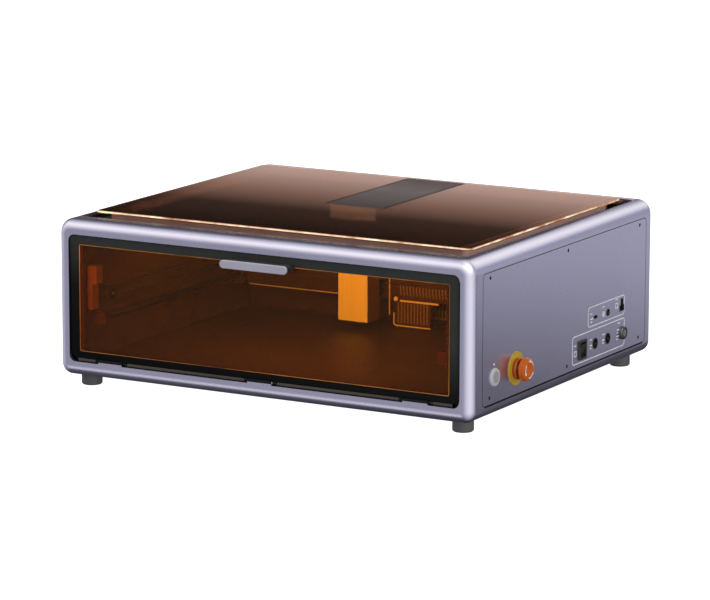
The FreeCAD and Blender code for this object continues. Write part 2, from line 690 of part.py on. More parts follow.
def belt_loop(length):
    """A belt loop in the XY plane: pulley centres at the origin and at +X length."""
    def outline(r):
        a = Part.LineSegment(Vector(0, -r, 0), Vector(length, -r, 0))
        b = Part.Arc(Vector(length, -r, 0), Vector(length + r, 0, 0), Vector(length, r, 0))
        c = Part.LineSegment(Vector(length, r, 0), Vector(0, r, 0))
        d = Part.Arc(Vector(0, r, 0), Vector(-r, 0, 0), Vector(0, -r, 0))
        return Part.Face(Part.Wire([s.toShape() for s in (a, b, c, d)]))
    ring = outline(BELT_R + BELT_T).cut(outline(BELT_R))
    return ring.extrude(Vector(0, 0, BELT_W))


def make_side_belts():
    loop = belt_loop(SHAFT_Y - IDLER_Y)
    turn = FreeCAD.Rotation(Y, Z, X, "XYZ")
    belts = []
    for x in ROD_X:
        belt = loop.copy()
        belt.Placement = FreeCAD.Placement(Vector(x - BELT_W / 2, IDLER_Y, BELT_Z), turn)
        belts.append(belt)
    return Part.Compound(belts)


def make_cross_belt():
    loop = belt_loop(XPULLEY_X - XIDLER_X)
    return loop.translated(Vector(XIDLER_X, GANTRY_Y, XBELT_Z - BELT_W / 2))


def pulley(bore, base, direction):
    """A flanged belt pulley, its width centred on base."""
    half = BELT_W / 2 + 0.5
    body = rod(PULLEY_R, base - direction * half, direction, 2 * half)
    for s in (-half - 1, half):
        body = body.fuse(rod(FLANGE_R, base + direction * s, direction, 1.0))
    return body.cut(rod(bore, base - direction * (half + 1), direction, 2 * half + 2)).removeSplitter()


def make_drive_shaft():
    return rod(SHAFT_R, Vector(ROD_X[0] - 9, SHAFT_Y, BELT_Z), X, RIGHT_WALL + 8 - ROD_X[0] + 9)


def make_drive_pulleys():
    return Part.Compound([pulley(SHAFT_R, Vector(x, SHAFT_Y, BELT_Z), X) for x in ROD_X])


def make_idler_pulleys():
    return Part.Compound([pulley(IDLER_PIN_R + IDLER_FIT, Vector(x, IDLER_Y, BELT_Z), X) for x in ROD_X])


def make_idler_pins():
    pins = []
    for x, wall in zip(ROD_X, (LEFT_WALL, RIGHT_WALL)):
        x0 = min(wall, x - 6)
        x1 = max(wall, x + 6)
        pins.append(rod(IDLER_PIN_R, Vector(x0, IDLER_Y, BELT_Z), X, x1 - x0))
    return Part.Compound(pins)


def make_shaft_bearing():
    wall = LEFT_WALL
    bearing = block(wall, ROD_X[0] - 6, SHAFT_Y - 8, SHAFT_Y + 8, BELT_Z - 8, BELT_Z + 8)
    return bearing.cut(rod(SHAFT_R + RUN_FIT, Vector(wall + 2.5, SHAFT_Y, BELT_Z), X, 20))


def make_y_motor():
    x0 = RIGHT_WALL + LINER_T
    motor = soft_block(x0, x0 + 22, SHAFT_Y - MOTOR_HALF, SHAFT_Y + MOTOR_HALF,
                       BELT_Z - MOTOR_HALF, BELT_Z + MOTOR_HALF, X, 4)
    return motor.cut(rod(SHAFT_R + RUN_FIT, Vector(x0, SHAFT_Y, BELT_Z), X, 12))


def make_x_motor():
    x = XPULLEY_X
    z0 = XBELT_Z + 6
    half = CROSS_MOTOR_HALF
    motor = soft_block(x - half, x + half, GANTRY_Y - half, GANTRY_Y + half, z0, z0 + 30, Z, 4)
    return motor.cut(rod(SHAFT_R + RUN_FIT, Vector(x, GANTRY_Y, z0), Z, 12))


def make_x_motor_bracket():
    """Post behind the cross belt that carries the motor over the beam."""
    half = CROSS_MOTOR_HALF
    return block(XPULLEY_X - half, XPULLEY_X + half, GANTRY_Y + BEAM_HALF, GANTRY_Y + half,
                 BEAM_Z1 - 12, XBELT_Z + 6)


def make_x_pulley():
    wheel = pulley(SHAFT_R, Vector(XPULLEY_X, GANTRY_Y, XBELT_Z), Z)
    shaft = rod(SHAFT_R, Vector(XPULLEY_X, GANTRY_Y, XBELT_Z - 4), Z, 18)
    return wheel.fuse(shaft).removeSplitter()


def make_x_idler():
    return pulley(IDLER_PIN_R + IDLER_FIT, Vector(XIDLER_X, GANTRY_Y, XBELT_Z), Z)


def make_x_idler_pin():
    pin = rod(IDLER_PIN_R, Vector(XIDLER_X, GANTRY_Y, BEAM_Z1), Z, XBELT_Z + 6 - BEAM_Z1)
    return pin.fuse(rod(3.4, Vector(XIDLER_X, GANTRY_Y, XBELT_Z + 5), Z, 2))


# ---- laser head ------------------------------------------------------------------------
def make_carriage():
    """Slide block round the cross rail, with a back plate and a jaw for the cross belt."""
    rail_y0 = GANTRY_Y - BEAM_HALF - 5
    half = CARRIAGE_HALF
    body = block(HEAD_X - half, HEAD_X + half, rail_y0 - 5, rail_y0 + 4.5, 78, 98)
    gap = block(HEAD_X - half, HEAD_X + half, rail_y0 - 0.3, rail_y0 + 6, 83.7, 92.3)
    body = body.cut(gap)
    strand_y = GANTRY_Y - BELT_R - BELT_T
    jaw = block(HEAD_X - 8, HEAD_X + 8, rail_y0 - 5, strand_y + BELT_T + 2.3, BEAM_Z1 + 1, XBELT_Z + 3)
    slot = block(HEAD_X - 9, HEAD_X + 9, strand_y - 0.3, strand_y + BELT_T + 0.3,
                 XBELT_Z - BELT_W / 2 - 0.4, XBELT_Z + 4)
    neck = block(HEAD_X - 8, HEAD_X + 8, rail_y0 - 5, rail_y0 - 0.5, 97, BEAM_Z1 + 2)
    return body.fuse(neck).fuse(jaw.cut(slot)).removeSplitter()


def make_laser_core():
    y1 = GANTRY_Y - BEAM_HALF - 10
    core = block(HEAD_X - 16, HEAD_X + 16, HEAD_Y + 6, y1, HEAD_Z0 + 8, HEAD_Z1 - 16)
    for k in range(7):
        x = HEAD_X - 13.5 + k * 4.0
        core = core.cut(block(x, x + 2.2, HEAD_Y + 6, HEAD_Y + 20, HEAD_Z0 + 8, HEAD_Z1 - 16))
    return core


def make_head_cover():
    y1 = GANTRY_Y - BEAM_HALF - 12
    x0 = HEAD_X - HEAD_W / 2
    cover = soft_block(x0, x0 + HEAD_W, HEAD_Y, y1, HEAD_Z0, HEAD_Z1, Z, 1.5)
    hollow = block(x0 + 2, x0 + HEAD_W - 2, HEAD_Y + 2, y1, HEAD_Z0 + 2, HEAD_Z1 - 2)
    cover = cover.cut(hollow)
    cover = cover.cut(rod(13, Vector(HEAD_X, HEAD_FAN_Y, HEAD_Z1 - 3), Z, 4))
    return cover.cut(rod(7.1, Vector(HEAD_X, NOZZLE_Y, HEAD_Z0 - 1), Z, 4))


def make_nozzle():
    return revolve([[1.0, 0], [3.0, 0], [7.0, 6], [7.0, 12.2], [1.0, 12.2]],
                   Vector(HEAD_X, NOZZLE_Y, HEAD_Z0 - 4.2), Z)


def make_head_fan_frame():
    z0 = HEAD_Z1 - 12
    frame = block(HEAD_X - 15, HEAD_X + 15, HEAD_Y + 2, HEAD_Y + 31.5, z0, z0 + 9)
    frame = frame.cut(rod(13.5, Vector(HEAD_X, HEAD_FAN_Y, z0), Z, 9))
    spider = rod(4.5, Vector(HEAD_X, HEAD_FAN_Y, z0), Z, 1.2)
    for angle in (45, 135):
        arm = block(-14, 14, -1, 1, 0, 1.2)
        arm.rotate(Vector(0, 0, 0), Z, angle)
        spider = spider.fuse(arm.translated(Vector(HEAD_X, HEAD_FAN_Y, z0)))
    spider = spider.fuse(rod(1.0, Vector(HEAD_X, HEAD_FAN_Y, z0), Z, 6))
    return frame.fuse(spider).removeSplitter()


def rotor(hub_r, tip_r, depth, blades, bore, twist):
    """Axial fan rotor about +Z from z = 0, with flat raked blades."""
    hub = rod(hub_r, Vector(0, 0, 0), Z, depth)
    wheel = hub
    for k in range(blades):
        blade = block(hub_r - 0.5, tip_r, -0.7, 0.7, -depth, depth)
        blade.rotate(Vector(0, 0, 0), X, twist)
        blade = blade.translated(Vector(0, 0, depth / 2))
        blade.rotate(Vector(0, 0, 0), Z, 360.0 * k / blades)
        wheel = wheel.fuse(blade)
    keep = rod(tip_r, Vector(0, 0, 0), Z, depth)
    wheel = wheel.common(keep)
    return wheel.cut(rod(bore, Vector(0, 0, 0), Z, depth - 1.5)).removeSplitter()


def make_head_fan_rotor():
    wheel = rotor(5.0, 12.8, 6.5, 5, 1.06, 40)
    return wheel.translated(Vector(HEAD_X, HEAD_FAN_Y, HEAD_Z1 - 12 + 1.6))


# ---- extractor -------------------------------------------------------------------------
def make_grille():
    """Vertical slats across the fan's inlet, with one stiffening bar."""
    half = FAN_SIZE / 2 + 3
    y0 = REAR_WALL - 3
    grille = soft_block(FAN_X - half, FAN_X + half, y0, REAR_WALL, FAN_Z - half, FAN_Z + half, Y, 9)
    inner = soft_block(FAN_X - half + 3, FAN_X + half - 3, y0, REAR_WALL,
                       FAN_Z - half + 3, FAN_Z + half - 3, Y, 6)
    grille = grille.cut(inner)
    bars = [block(FAN_X - half + 2, FAN_X + half - 2, y0, REAR_WALL, FAN_Z - 24, FAN_Z - 20)]
    for k in range(GRILLE_BARS):
        x = FAN_X - 41 + k * GRILLE_PITCH
        bars.append(block(x, x + GRILLE_BAR_W, y0, REAR_WALL, FAN_Z - half + 2, FAN_Z + half - 2))
    return grille.fuse(bars).removeSplitter()


def make_fan_frame():
    half = FAN_SIZE / 2
    y0 = REAR_WALL + LINER_T
    frame = soft_block(FAN_X - half, FAN_X + half, y0, y0 + FAN_T, FAN_Z - half, FAN_Z + half, Y, 4)
    frame = frame.cut(rod(FAN_BORE, Vector(FAN_X, y0, FAN_Z), Y, FAN_T))
    spider = rod(17, Vector(FAN_X, y0 + FAN_T - 2.5, FAN_Z), Y, 2.5)
    for angle in (0, 90):
        arm = block(-half + 1, half - 1, y0 + FAN_T - 2.5, y0 + FAN_T, -2, 2)
        arm.rotate(Vector(0, 0, 0), Y, 45 + angle)
        spider = spider.fuse(arm.translated(Vector(FAN_X, 0, FAN_Z)))
    spider = spider.fuse(rod(2.0, Vector(FAN_X, y0 + 6, FAN_Z), Y, FAN_T - 7))
    return frame.fuse(spider).removeSplitter()


def make_fan_rotor():
    wheel = rotor(18, 41.5, 19, 7, 2.06, 45)
    wheel.Placement = FreeCAD.Placement(Vector(FAN_X, REAR_WALL + LINER_T + 21.5, FAN_Z),
                                        FreeCAD.Rotation(Z, -Y))
    return wheel


def make_duct():
    """Box that turns the fan's outlet up to the round outlet on the back."""
    y0 = REAR_WALL + LINER_T + FAN_T
    y1 = BODY_D - PANEL_T - 4
    half = FAN_SIZE / 2 + 3
    duct = block(FAN_X - half, FAN_X + half, y0, y1, FAN_Z - half, FAN_Z + half + SPIGOT_RISE)
    hollow = block(FAN_X - half + 2, FAN_X + half - 2, y0, y1 - 2, FAN_Z - half + 2,
                   FAN_Z + half + SPIGOT_RISE - 2)
    duct = duct.cut(hollow)
    return duct.cut(rod(SPIGOT_R - 3, Vector(FAN_X, y1 - 3, FAN_Z + SPIGOT_RISE), Y, 4))


def make_spigot():
    y0 = BODY_D - PANEL_T - 4
    base = Vector(FAN_X, y0, FAN_Z + SPIGOT_RISE)
    length = BODY_D + SPIGOT_REACH - y0
    spigot = tube(SPIGOT_R, SPIGOT_R - 2.5, base, Y, length)
    collar = tube(SPIGOT_R + 4, SPIGOT_R, Vector(FAN_X, BODY_D, FAN_Z + SPIGOT_RISE), Y, 2.5)
    return spigot.fuse(collar).removeSplitter()


# ---- controls and sockets --------------------------------------------------------------
def on_side(y, z, out=0.0):
    return Vector(HALF_W + out, y, z)


def make_power_ring():
    ring = revolve([[6.9, -12], [8.0, -12], [8.0, 0], [10.7, 0], [10.7, 1.2], [9.9, 2.2], [6.9, 2.2]],
                   on_side(POWER_Y, POWER_Z), X)
    back = rod(8.0, on_side(POWER_Y, POWER_Z, -14), X, 2.0)
    return ring.fuse(back).removeSplitter()


def make_power_button():
    return revolve([[0, -8], [6.6, -8], [6.6, 1.4], [6.0, 2.0], [0, 2.0]],
                   on_side(POWER_Y, POWER_Z), X)


def make_estop_plate():
    return tube(ESTOP_PLATE_R, ESTOP_NECK_R + 0.1, on_side(ESTOP_Y, ESTOP_Z), X, 1.0)


def make_estop_body():
    return revolve([[5.1, -20], [ESTOP_NECK_R, -20], [ESTOP_NECK_R, 1], [12.8, 1], [12.8, 4.6],
                    [11.8, 5.6], [5.1, 5.6]],
                   on_side(ESTOP_Y, ESTOP_Z), X)


def make_estop_stem():
    return rod(5.0, on_side(ESTOP_Y, ESTOP_Z, -15), X, 24.6)


def make_estop_cap():
    cap = revolve([[0, 9.6], [0, ESTOP_REACH], [6, ESTOP_REACH], [11, ESTOP_REACH - 0.9],
                   [13.4, ESTOP_REACH - 2.8], [14.2, ESTOP_REACH - 5.2], [12.6, 9.6]],
                  on_side(ESTOP_Y, ESTOP_Z), X)
    return cap


def make_rocker_frame():
    x = HALF_W
    frame = block(x - 18, x, ROCKER_Y - ROCKER_HALF_Y, ROCKER_Y + ROCKER_HALF_Y,
                  ROCKER_Z - ROCKER_HALF_Z, ROCKER_Z + ROCKER_HALF_Z)
    bezel = soft_block(x, x + 2, ROCKER_Y - 10, ROCKER_Y + 10, ROCKER_Z - 12, ROCKER_Z + 12, X, 1)
    frame = frame.fuse(bezel)
    frame = frame.cut(block(x - 10, x + 3, ROCKER_Y - 7, ROCKER_Y + 7, ROCKER_Z - 9.2, ROCKER_Z + 9.2))
    pin = rod(1.0, Vector(x - 3, ROCKER_Y - 7.5, ROCKER_Z), Y, 15)
    return frame.fuse(pin).removeSplitter()


def make_rocker():
    """Two-faced paddle on the cross pin, resting with its lower half pressed in."""
    x = HALF_W
    points = [[-3.6, -5.5], [1.9, -8.2], [0.7, 0.0], [1.9, 8.2], [-3.6, 5.5]]
    outline = [Vector(a, 0, b) for a, b in points]
    paddle = Part.Face(Part.makePolygon(outline + outline[:1])).extrude(Vector(0, 13, 0))
    paddle = paddle.translated(Vector(3, -6.5, 0))
    paddle = paddle.fuse(rod(2.6, Vector(0, -6.5, 0), Y, 13))
    paddle = paddle.cut(rod(1.0 + RUN_FIT, Vector(0, -6.5, 0), Y, 13)).removeSplitter()
    paddle.rotate(Vector(0, 0, 0), Y, 9)
    return paddle.translated(Vector(x - 3, ROCKER_Y, ROCKER_Z))


def make_key_lock():
    return revolve([[4.06, -14], [6.0, -14], [6.0, 0], [8.3, 0], [8.3, 2.4], [7.4, 3.6], [4.06, 3.6]],
                   on_side(KEY_Y, KEY_Z), X)


def make_key_barrel():
    barrel = rod(4.0, on_side(KEY_Y, KEY_Z, -13), X, 16.2)
    slot = block(HALF_W - 2, HALF_W + 4, KEY_Y - 0.6, KEY_Y + 0.6, KEY_Z - 2.6, KEY_Z + 2.6)
    return barrel.cut(slot)


def make_round_jacks():
    jacks = []
    for y, z, r in BIG_JACKS + [SMALL_JACK]:
        body = rod(r, on_side(y, z, -11), X, 11.4)
        body = body.cut(tube(r - 1.2, 1.3, on_side(y, z, -8), X, 9))
        jacks.append(body)
    return Part.Compound(jacks)


def make_data_sockets():
    x = HALF_W
    flat = soft_block(x - 9, x + 0.2, SLOT_Y - 5, SLOT_Y + 5, SLOT_Z - 2, SLOT_Z + 2, X, 1.9)
    flat = flat.cut(soft_block(x - 7, x + 1, SLOT_Y - 4.4, SLOT_Y + 4.4, SLOT_Z - 1.5, SLOT_Z + 1.5, X, 1.4))
    tall = stepped_form(0, x - 14, x + 0.2).cut(stepped_form(-1, x - 11, x + 1))
    return Part.Compound([flat, tall])


def make_control_board():
    x = RIGHT_WALL + LINER_T + 6
    return block(x, x + 1.6, 200, 345, 58, 148)


def make_board_parts():
    """Spacers behind the board and the parts soldered on its face."""
    x = RIGHT_WALL + LINER_T
    face = x + 7.6
    pieces = []
    for y in (206, 339):
        for z in (64, 142):
            pieces.append(rod(3.0, Vector(x, y, z), X, 6))
    pieces.append(block(face, face + 1.6, 258, 276, 104, 122))
    for k in range(4):
        pieces.append(block(face, face + 10, 214 + k * 16, 225 + k * 16, 130, 142))
    for k in range(3):
        pieces.append(rod(4.0, Vector(face, 300 + k * 12, 128), X, 11))
    return Part.Compound(pieces)


def compound(*shapes):
    """One node of several separate solids."""
    solids = []
    for shape in shapes:
        solids.extend(shape.Solids)
    return Part.Compound(solids)


NODES = {
    # casing
    "body_shell": make_body_shell,
    "base_plate": lambda: compound(make_base_plate(), make_bed_supports()),
    "rubber_feet": make_feet,
    "case_screws": lambda: compound(make_panel_screws(), make_foot_screws()),
    "right_side_panel": make_right_panel,
    "left_side_panel": lambda: make_side_panel(-1),
    "rear_panel": make_rear_panel,
    "top_deck": make_top_deck,
    "chamber_liners": lambda: compound(make_liner(LEFT_WALL - LINER_T), make_right_liner(),
                                       make_rear_liner()),
    "front_frame": make_front_frame,
    "opening_seals": lambda: compound(make_door_seal(), make_lid_seal()),
    "door_sill": make_door_sill,
    "work_bed": make_work_bed,
    "light_bar": make_light_bar,
    "pivot_pins": lambda: compound(make_door_pins(), make_lid_pins(), make_idler_pins()),
    "door_switch": make_door_switch,
    "lid_hinge_brackets": make_lid_brackets,
    # front door
    "door_frame": lambda: make_door_frame().fuse(make_door_arms()).removeSplitter(),
    "door_window": make_door_window,
    "handle_base": make_handle_base,
    "handle_cap": make_handle_cap,
    # lid
    "lid_plate": make_lid_plate,
    "lid_rim": make_lid_rim,
    "camera_band": make_camera_band,
    "camera_housing": lambda: compound(make_camera_housing(), make_camera_lens()),
    "lid_hinge_knuckles": make_lid_knuckles,
    # motion system
    "guide_rods": make_guide_rods,
    "rail_mounts": lambda: compound(make_rod_holders(), make_shaft_bearing()),
    "side_belts": make_side_belts,
    "side_motor": make_y_motor,
    "drive_pulleys": lambda: compound(make_drive_shaft(), make_drive_pulleys()),
    "idler_pulleys": make_idler_pulleys,
    "gantry_beam": make_gantry_beam,
    "gantry_blocks": lambda: compound(make_gantry_blocks(), make_x_motor_bracket(),
                                      make_x_idler_pin()),
    "cross_rail": make_cross_rail,
    "cross_belt": make_cross_belt,
    "cross_motor": make_x_motor,
    "cross_pulley": make_x_pulley,
    "cross_idler": make_x_idler,
    # laser head
    "head_carriage": make_carriage,
    "laser_core": lambda: compound(make_laser_core(), make_head_fan_frame()),
    "head_cover": make_head_cover,
    "laser_nozzle": make_nozzle,
    "head_fan_rotor": make_head_fan_rotor,
    # extractor
    "exhaust_grille": make_grille,
    "exhaust_fan_frame": make_fan_frame,
    "exhaust_rotor": make_fan_rotor,
    "exhaust_duct": lambda: compound(make_duct(), make_spigot()),
    # controls, sockets and electronics
    "power_ring": make_power_ring,
    "power_button": make_power_button,
    "estop_plate": make_estop_plate,
    "estop_body": make_estop_body,
    "estop_stem": make_estop_stem,
    "estop_cap": make_estop_cap,
    "rocker_frame": make_rocker_frame,
    "rocker_paddle": make_rocker,
    "key_lock": make_key_lock,
    "key_barrel": make_key_barrel,
    "panel_sockets": lambda: compound(make_round_jacks(), make_data_sockets()),
    "control_board": lambda: compound(make_control_board(), make_board_parts()),
}


def place(shape):
    moved = shape.copy()
    moved.translate(-ORIGIN)
    return moved


os.makedirs("parts", exist_ok=True)
for name, make in NODES.items():
    solid = place(make())
    count = len(solid.Solids)
    print(name, count, "solids, valid" if solid.isValid() else "solids, NOT VALID")
    solid.exportStep("parts/" + name + ".step")
print(len(NODES), "nodes")
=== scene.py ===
import math

import bpy
import bmesh
from mathutils import Matrix, Vector


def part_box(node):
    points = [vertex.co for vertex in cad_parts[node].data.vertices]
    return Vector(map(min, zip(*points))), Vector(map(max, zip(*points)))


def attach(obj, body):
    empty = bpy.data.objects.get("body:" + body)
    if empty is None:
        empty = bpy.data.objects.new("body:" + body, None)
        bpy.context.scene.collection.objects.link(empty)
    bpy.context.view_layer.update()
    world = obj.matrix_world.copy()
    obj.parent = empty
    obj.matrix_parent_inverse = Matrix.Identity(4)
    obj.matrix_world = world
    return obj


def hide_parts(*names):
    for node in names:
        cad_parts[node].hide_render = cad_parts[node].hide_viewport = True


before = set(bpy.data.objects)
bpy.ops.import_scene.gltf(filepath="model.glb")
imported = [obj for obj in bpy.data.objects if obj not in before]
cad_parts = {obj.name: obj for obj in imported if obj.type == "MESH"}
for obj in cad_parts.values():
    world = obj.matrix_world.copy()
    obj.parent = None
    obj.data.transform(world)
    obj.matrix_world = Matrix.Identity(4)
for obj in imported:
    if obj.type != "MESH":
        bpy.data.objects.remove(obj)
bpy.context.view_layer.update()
MM = 0.001

# --------------------------------
# Places read from the frame, in metres
# --------------------------------
BODY_LO, BODY_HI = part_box("body_shell")
DOOR_LO, DOOR_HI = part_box("door_frame")
SILL_LO, SILL_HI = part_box("door_sill")
WINDOW_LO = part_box("door_window")[0]
LID_LO, LID_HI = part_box("lid_plate")
BAND_LO, BAND_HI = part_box("camera_band")
RIGHT_LO, RIGHT_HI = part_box("right_side_panel")
LEFT_LO, LEFT_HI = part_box("left_side_panel")
BEAM_LO, BEAM_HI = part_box("gantry_beam")
RAIL_LO, RAIL_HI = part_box("cross_rail")
HEAD_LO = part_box("head_cover")[0]
CAP_LO, CAP_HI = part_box("estop_cap")
LIGHT_BAR_LO, LIGHT_BAR_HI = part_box("light_bar")
FRONT_Y = BODY_LO.y
MID_X = (BODY_LO.x + BODY_HI.x) / 2


# --------------------------------
# Mesh helpers
# --------------------------------
AXES = {"x": (1, 2, 0), "y": (0, 2, 1), "z": (0, 1, 2)}   # across, up, along
TINY = 1e-6               # least radius of an outline
SLAB_CORNER_MIN = 1e-5
STRIP_CORNER_MIN = 1e-4
ROUND_STEPS = 10          # segments to a round corner
COARSE_STEPS = 4          # the same on small bars
EDGE_STEPS = 4            # rings to a rounded rim
SMOOTH_ANGLE = 35         # degrees: steeper corners stay sharp


def to_point(axis, u, v, w):
    """A point from two coordinates across an axis and one along it."""
    point = [0.0, 0.0, 0.0]
    iu, iv, iw = AXES[axis]
    point[iu], point[iv], point[iw] = u, v, w
    return Vector(point)


def round_rect(u0, u1, v0, v1, r, steps):
    """A closed outline of a rectangle with round corners, steps segments to a corner."""
    r = max(min(r, (u1 - u0) / 2 - TINY, (v1 - v0) / 2 - TINY), TINY)
    corners = ((u1 - r, v1 - r, 0), (u0 + r, v1 - r, 90),
               (u0 + r, v0 + r, 180), (u1 - r, v0 + r, 270))
    points = []
    for cu, cv, start in corners:
        for k in range(steps + 1):
            a = math.radians(start + 90 * k / steps)
            points.append((cu + r * math.cos(a), cv + r * math.sin(a)))
    return points


def outline(axis, rect, inset, r, w, steps):
    """A round-cornered loop, inset from a rectangle (u0, u1, v0, v1), at w on the axis."""
    u0, u1, v0, v1 = rect
    flat = round_rect(u0 + inset, u1 - inset, v0 + inset, v1 - inset, r, steps)
    return [to_point(axis, u, v, w) for u, v in flat]


def link_mesh(name, bm):
    """Turn a bmesh into an object of the scene."""
    mesh = bpy.data.meshes.new(name)
    bm.to_mesh(mesh)
    bm.free()
    obj = bpy.data.objects.new(name, mesh)
    bpy.context.scene.collection.objects.link(obj)
    return obj


def new_object(name, bm):
    """Turn a bmesh into an object of the scene, with its faces all turned outwards."""
    bmesh.ops.recalc_face_normals(bm, faces=bm.faces)
    return link_mesh(name, bm)


def loft(name, loops, ring=False):
    """Skin a row of equal closed loops. ring joins the last to the first, else both are capped."""
    bm = bmesh.new()
    rows = [[bm.verts.new(p) for p in loop] for loop in loops]
    pairs = list(zip(rows, rows[1:])) + ([(rows[-1], rows[0])] if ring else [])
    for a, b in pairs:
        for k in range(len(a)):
            n = (k + 1) % len(a)
            bm.faces.new((a[k], a[n], b[n], b[k]))
    if not ring:
        bm.faces.new(rows[0])
        bm.faces.new(rows[-1])
    return new_object(name, bm)


def quarter(r):
    """Inset and depth of each ring of a quarter-round rim, from the flat face outwards."""
    if not r:
        return [(0.0, 0.0)]
    angles = [math.pi / 2 * k / EDGE_STEPS for k in range(EDGE_STEPS + 1)]
    return [(r * (1 - math.sin(a)), r * (1 - math.cos(a))) for a in angles]


def slab(name, axis, lo, hi, corner=0.0, low_rim=0.0, high_rim=0.0, steps=ROUND_STEPS):
    """A box with round corners across an axis, and a rounded rim at each end of it."""
    iu, iv, iw = AXES[axis]
    rings = [(inset, lo[iw] + depth) for inset, depth in quarter(low_rim)]
    rings += [(inset, hi[iw] - depth) for inset, depth in reversed(quarter(high_rim))]
    rect = (lo[iu], hi[iu], lo[iv], hi[iv])
    return loft(name, [outline(axis, rect, inset, max(corner - inset, SLAB_CORNER_MIN), w, steps)
                       for inset, w in rings])


def bar(name, x0, x1, y0, y1, z0, z1):
    """A plain bar between six coordinates."""
    return slab(name, "x", Vector((x0, y0, z0)), Vector((x1, y1, z1)), steps=COARSE_STEPS)


def ring_strip(name, axis, rect, corner, section, steps=ROUND_STEPS):
    """A closed strip round an outline. section lists (inset from it, place on the axis)."""
    return loft(name, [outline(axis, rect, inset, max(corner - inset, STRIP_CORNER_MIN), w, steps)
                       for inset, w in section], ring=True)


def flat_section(width, w0, w1):
    """The section of a strip that is width wide and lies between two places on the axis."""
    return [(0.0, w0), (0.0, w1), (width, w1), (width, w0)]


def turned(name, base, axis, profile, steps):
    """Turn a profile of (radius, height) points about an axis from base."""
    iu, iv, iw = AXES[axis]
    turns = [2 * math.pi * k / steps for k in range(steps)]
    loops = []
    for r, h in profile:
        r = max(r, TINY)
        loops.append([to_point(axis, base[iu] + r * math.cos(a), base[iv] + r * math.sin(a),
                               base[iw] + h) for a in turns])
    return loft(name, loops)


def join(name, objects):
    """Join loose pieces into one object."""
    bm = bmesh.new()
    for obj in objects:
        bm.from_mesh(obj.data)
        bpy.data.objects.remove(obj, do_unlink=True)
    return link_mesh(name, bm)


def shade(obj, angle=SMOOTH_ANGLE):
    """Shade smooth across everything but real corners."""
    for polygon in obj.data.polygons:
        polygon.use_smooth = True
    obj.data.set_sharp_from_angle(angle=math.radians(angle))
    level = obj.modifiers.new("level", "WEIGHTED_NORMAL")
    level.keep_sharp = True
    level.weight = 100
    return obj


def dress(obj, material, body, replaces=()):
    """Give a piece its finish, the body it rides on and the CAD node it stands for."""
    obj.data.materials.clear()
    obj.data.materials.append(material)
    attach(obj, body)
    if replaces:
        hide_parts(*replaces)


def hide_from(obj, *rays):
    """Keep an object out of some kinds of ray."""
    for ray in rays:
        setattr(obj, "visible_" + ray, False)


# --------------------------------
# Node trees
# --------------------------------
class Tree:
    """A short way to write a node tree."""

    def __init__(self, tree):
        self.tree = tree
        tree.nodes.clear()

    def add(self, kind, **values):
        """A new node, with its settings."""
        node = self.tree.nodes.new(kind)
        for key, value in values.items():
            setattr(node, key, value)
        return node

    def link(self, a, b):
        self.tree.links.new(a, b)

    def maths(self, operation, *values):
        """Arithmetic on sockets and plain numbers."""
        node = self.add("ShaderNodeMath", operation=operation)
        for socket, value in zip(node.inputs, values):
            if isinstance(value, float):
                socket.default_value = value
            else:
                self.link(value, socket)
        return node.outputs["Value"]

    def split(self, vector, axis):
        """One coordinate of a vector."""
        node = self.add("ShaderNodeSeparateXYZ")
        self.link(vector, node.inputs["Vector"])
        return node.outputs[axis]

    def ramp(self, value, stops):
        """Colours by a value from 0 to 1. Each stop is (place, colour)."""
        node = self.add("ShaderNodeValToRGB")
        elements = node.color_ramp.elements
        while len(elements) < len(stops):
            elements.new(0.5)
        for element, (place, colour) in zip(elements, stops):
            element.position = place
            element.color = (*colour, 1.0)
        self.link(value, node.inputs["Fac"])
        return node.outputs["Color"]

    def choose(self, factor, a, b):
        """Shader a where factor is 0 and shader b where it is 1."""
        node = self.add("ShaderNodeMixShader")
        self.link(factor, node.inputs["Fac"])
        self.link(a, node.inputs[1])
        self.link(b, node.inputs[2])
        return node.outputs["Shader"]


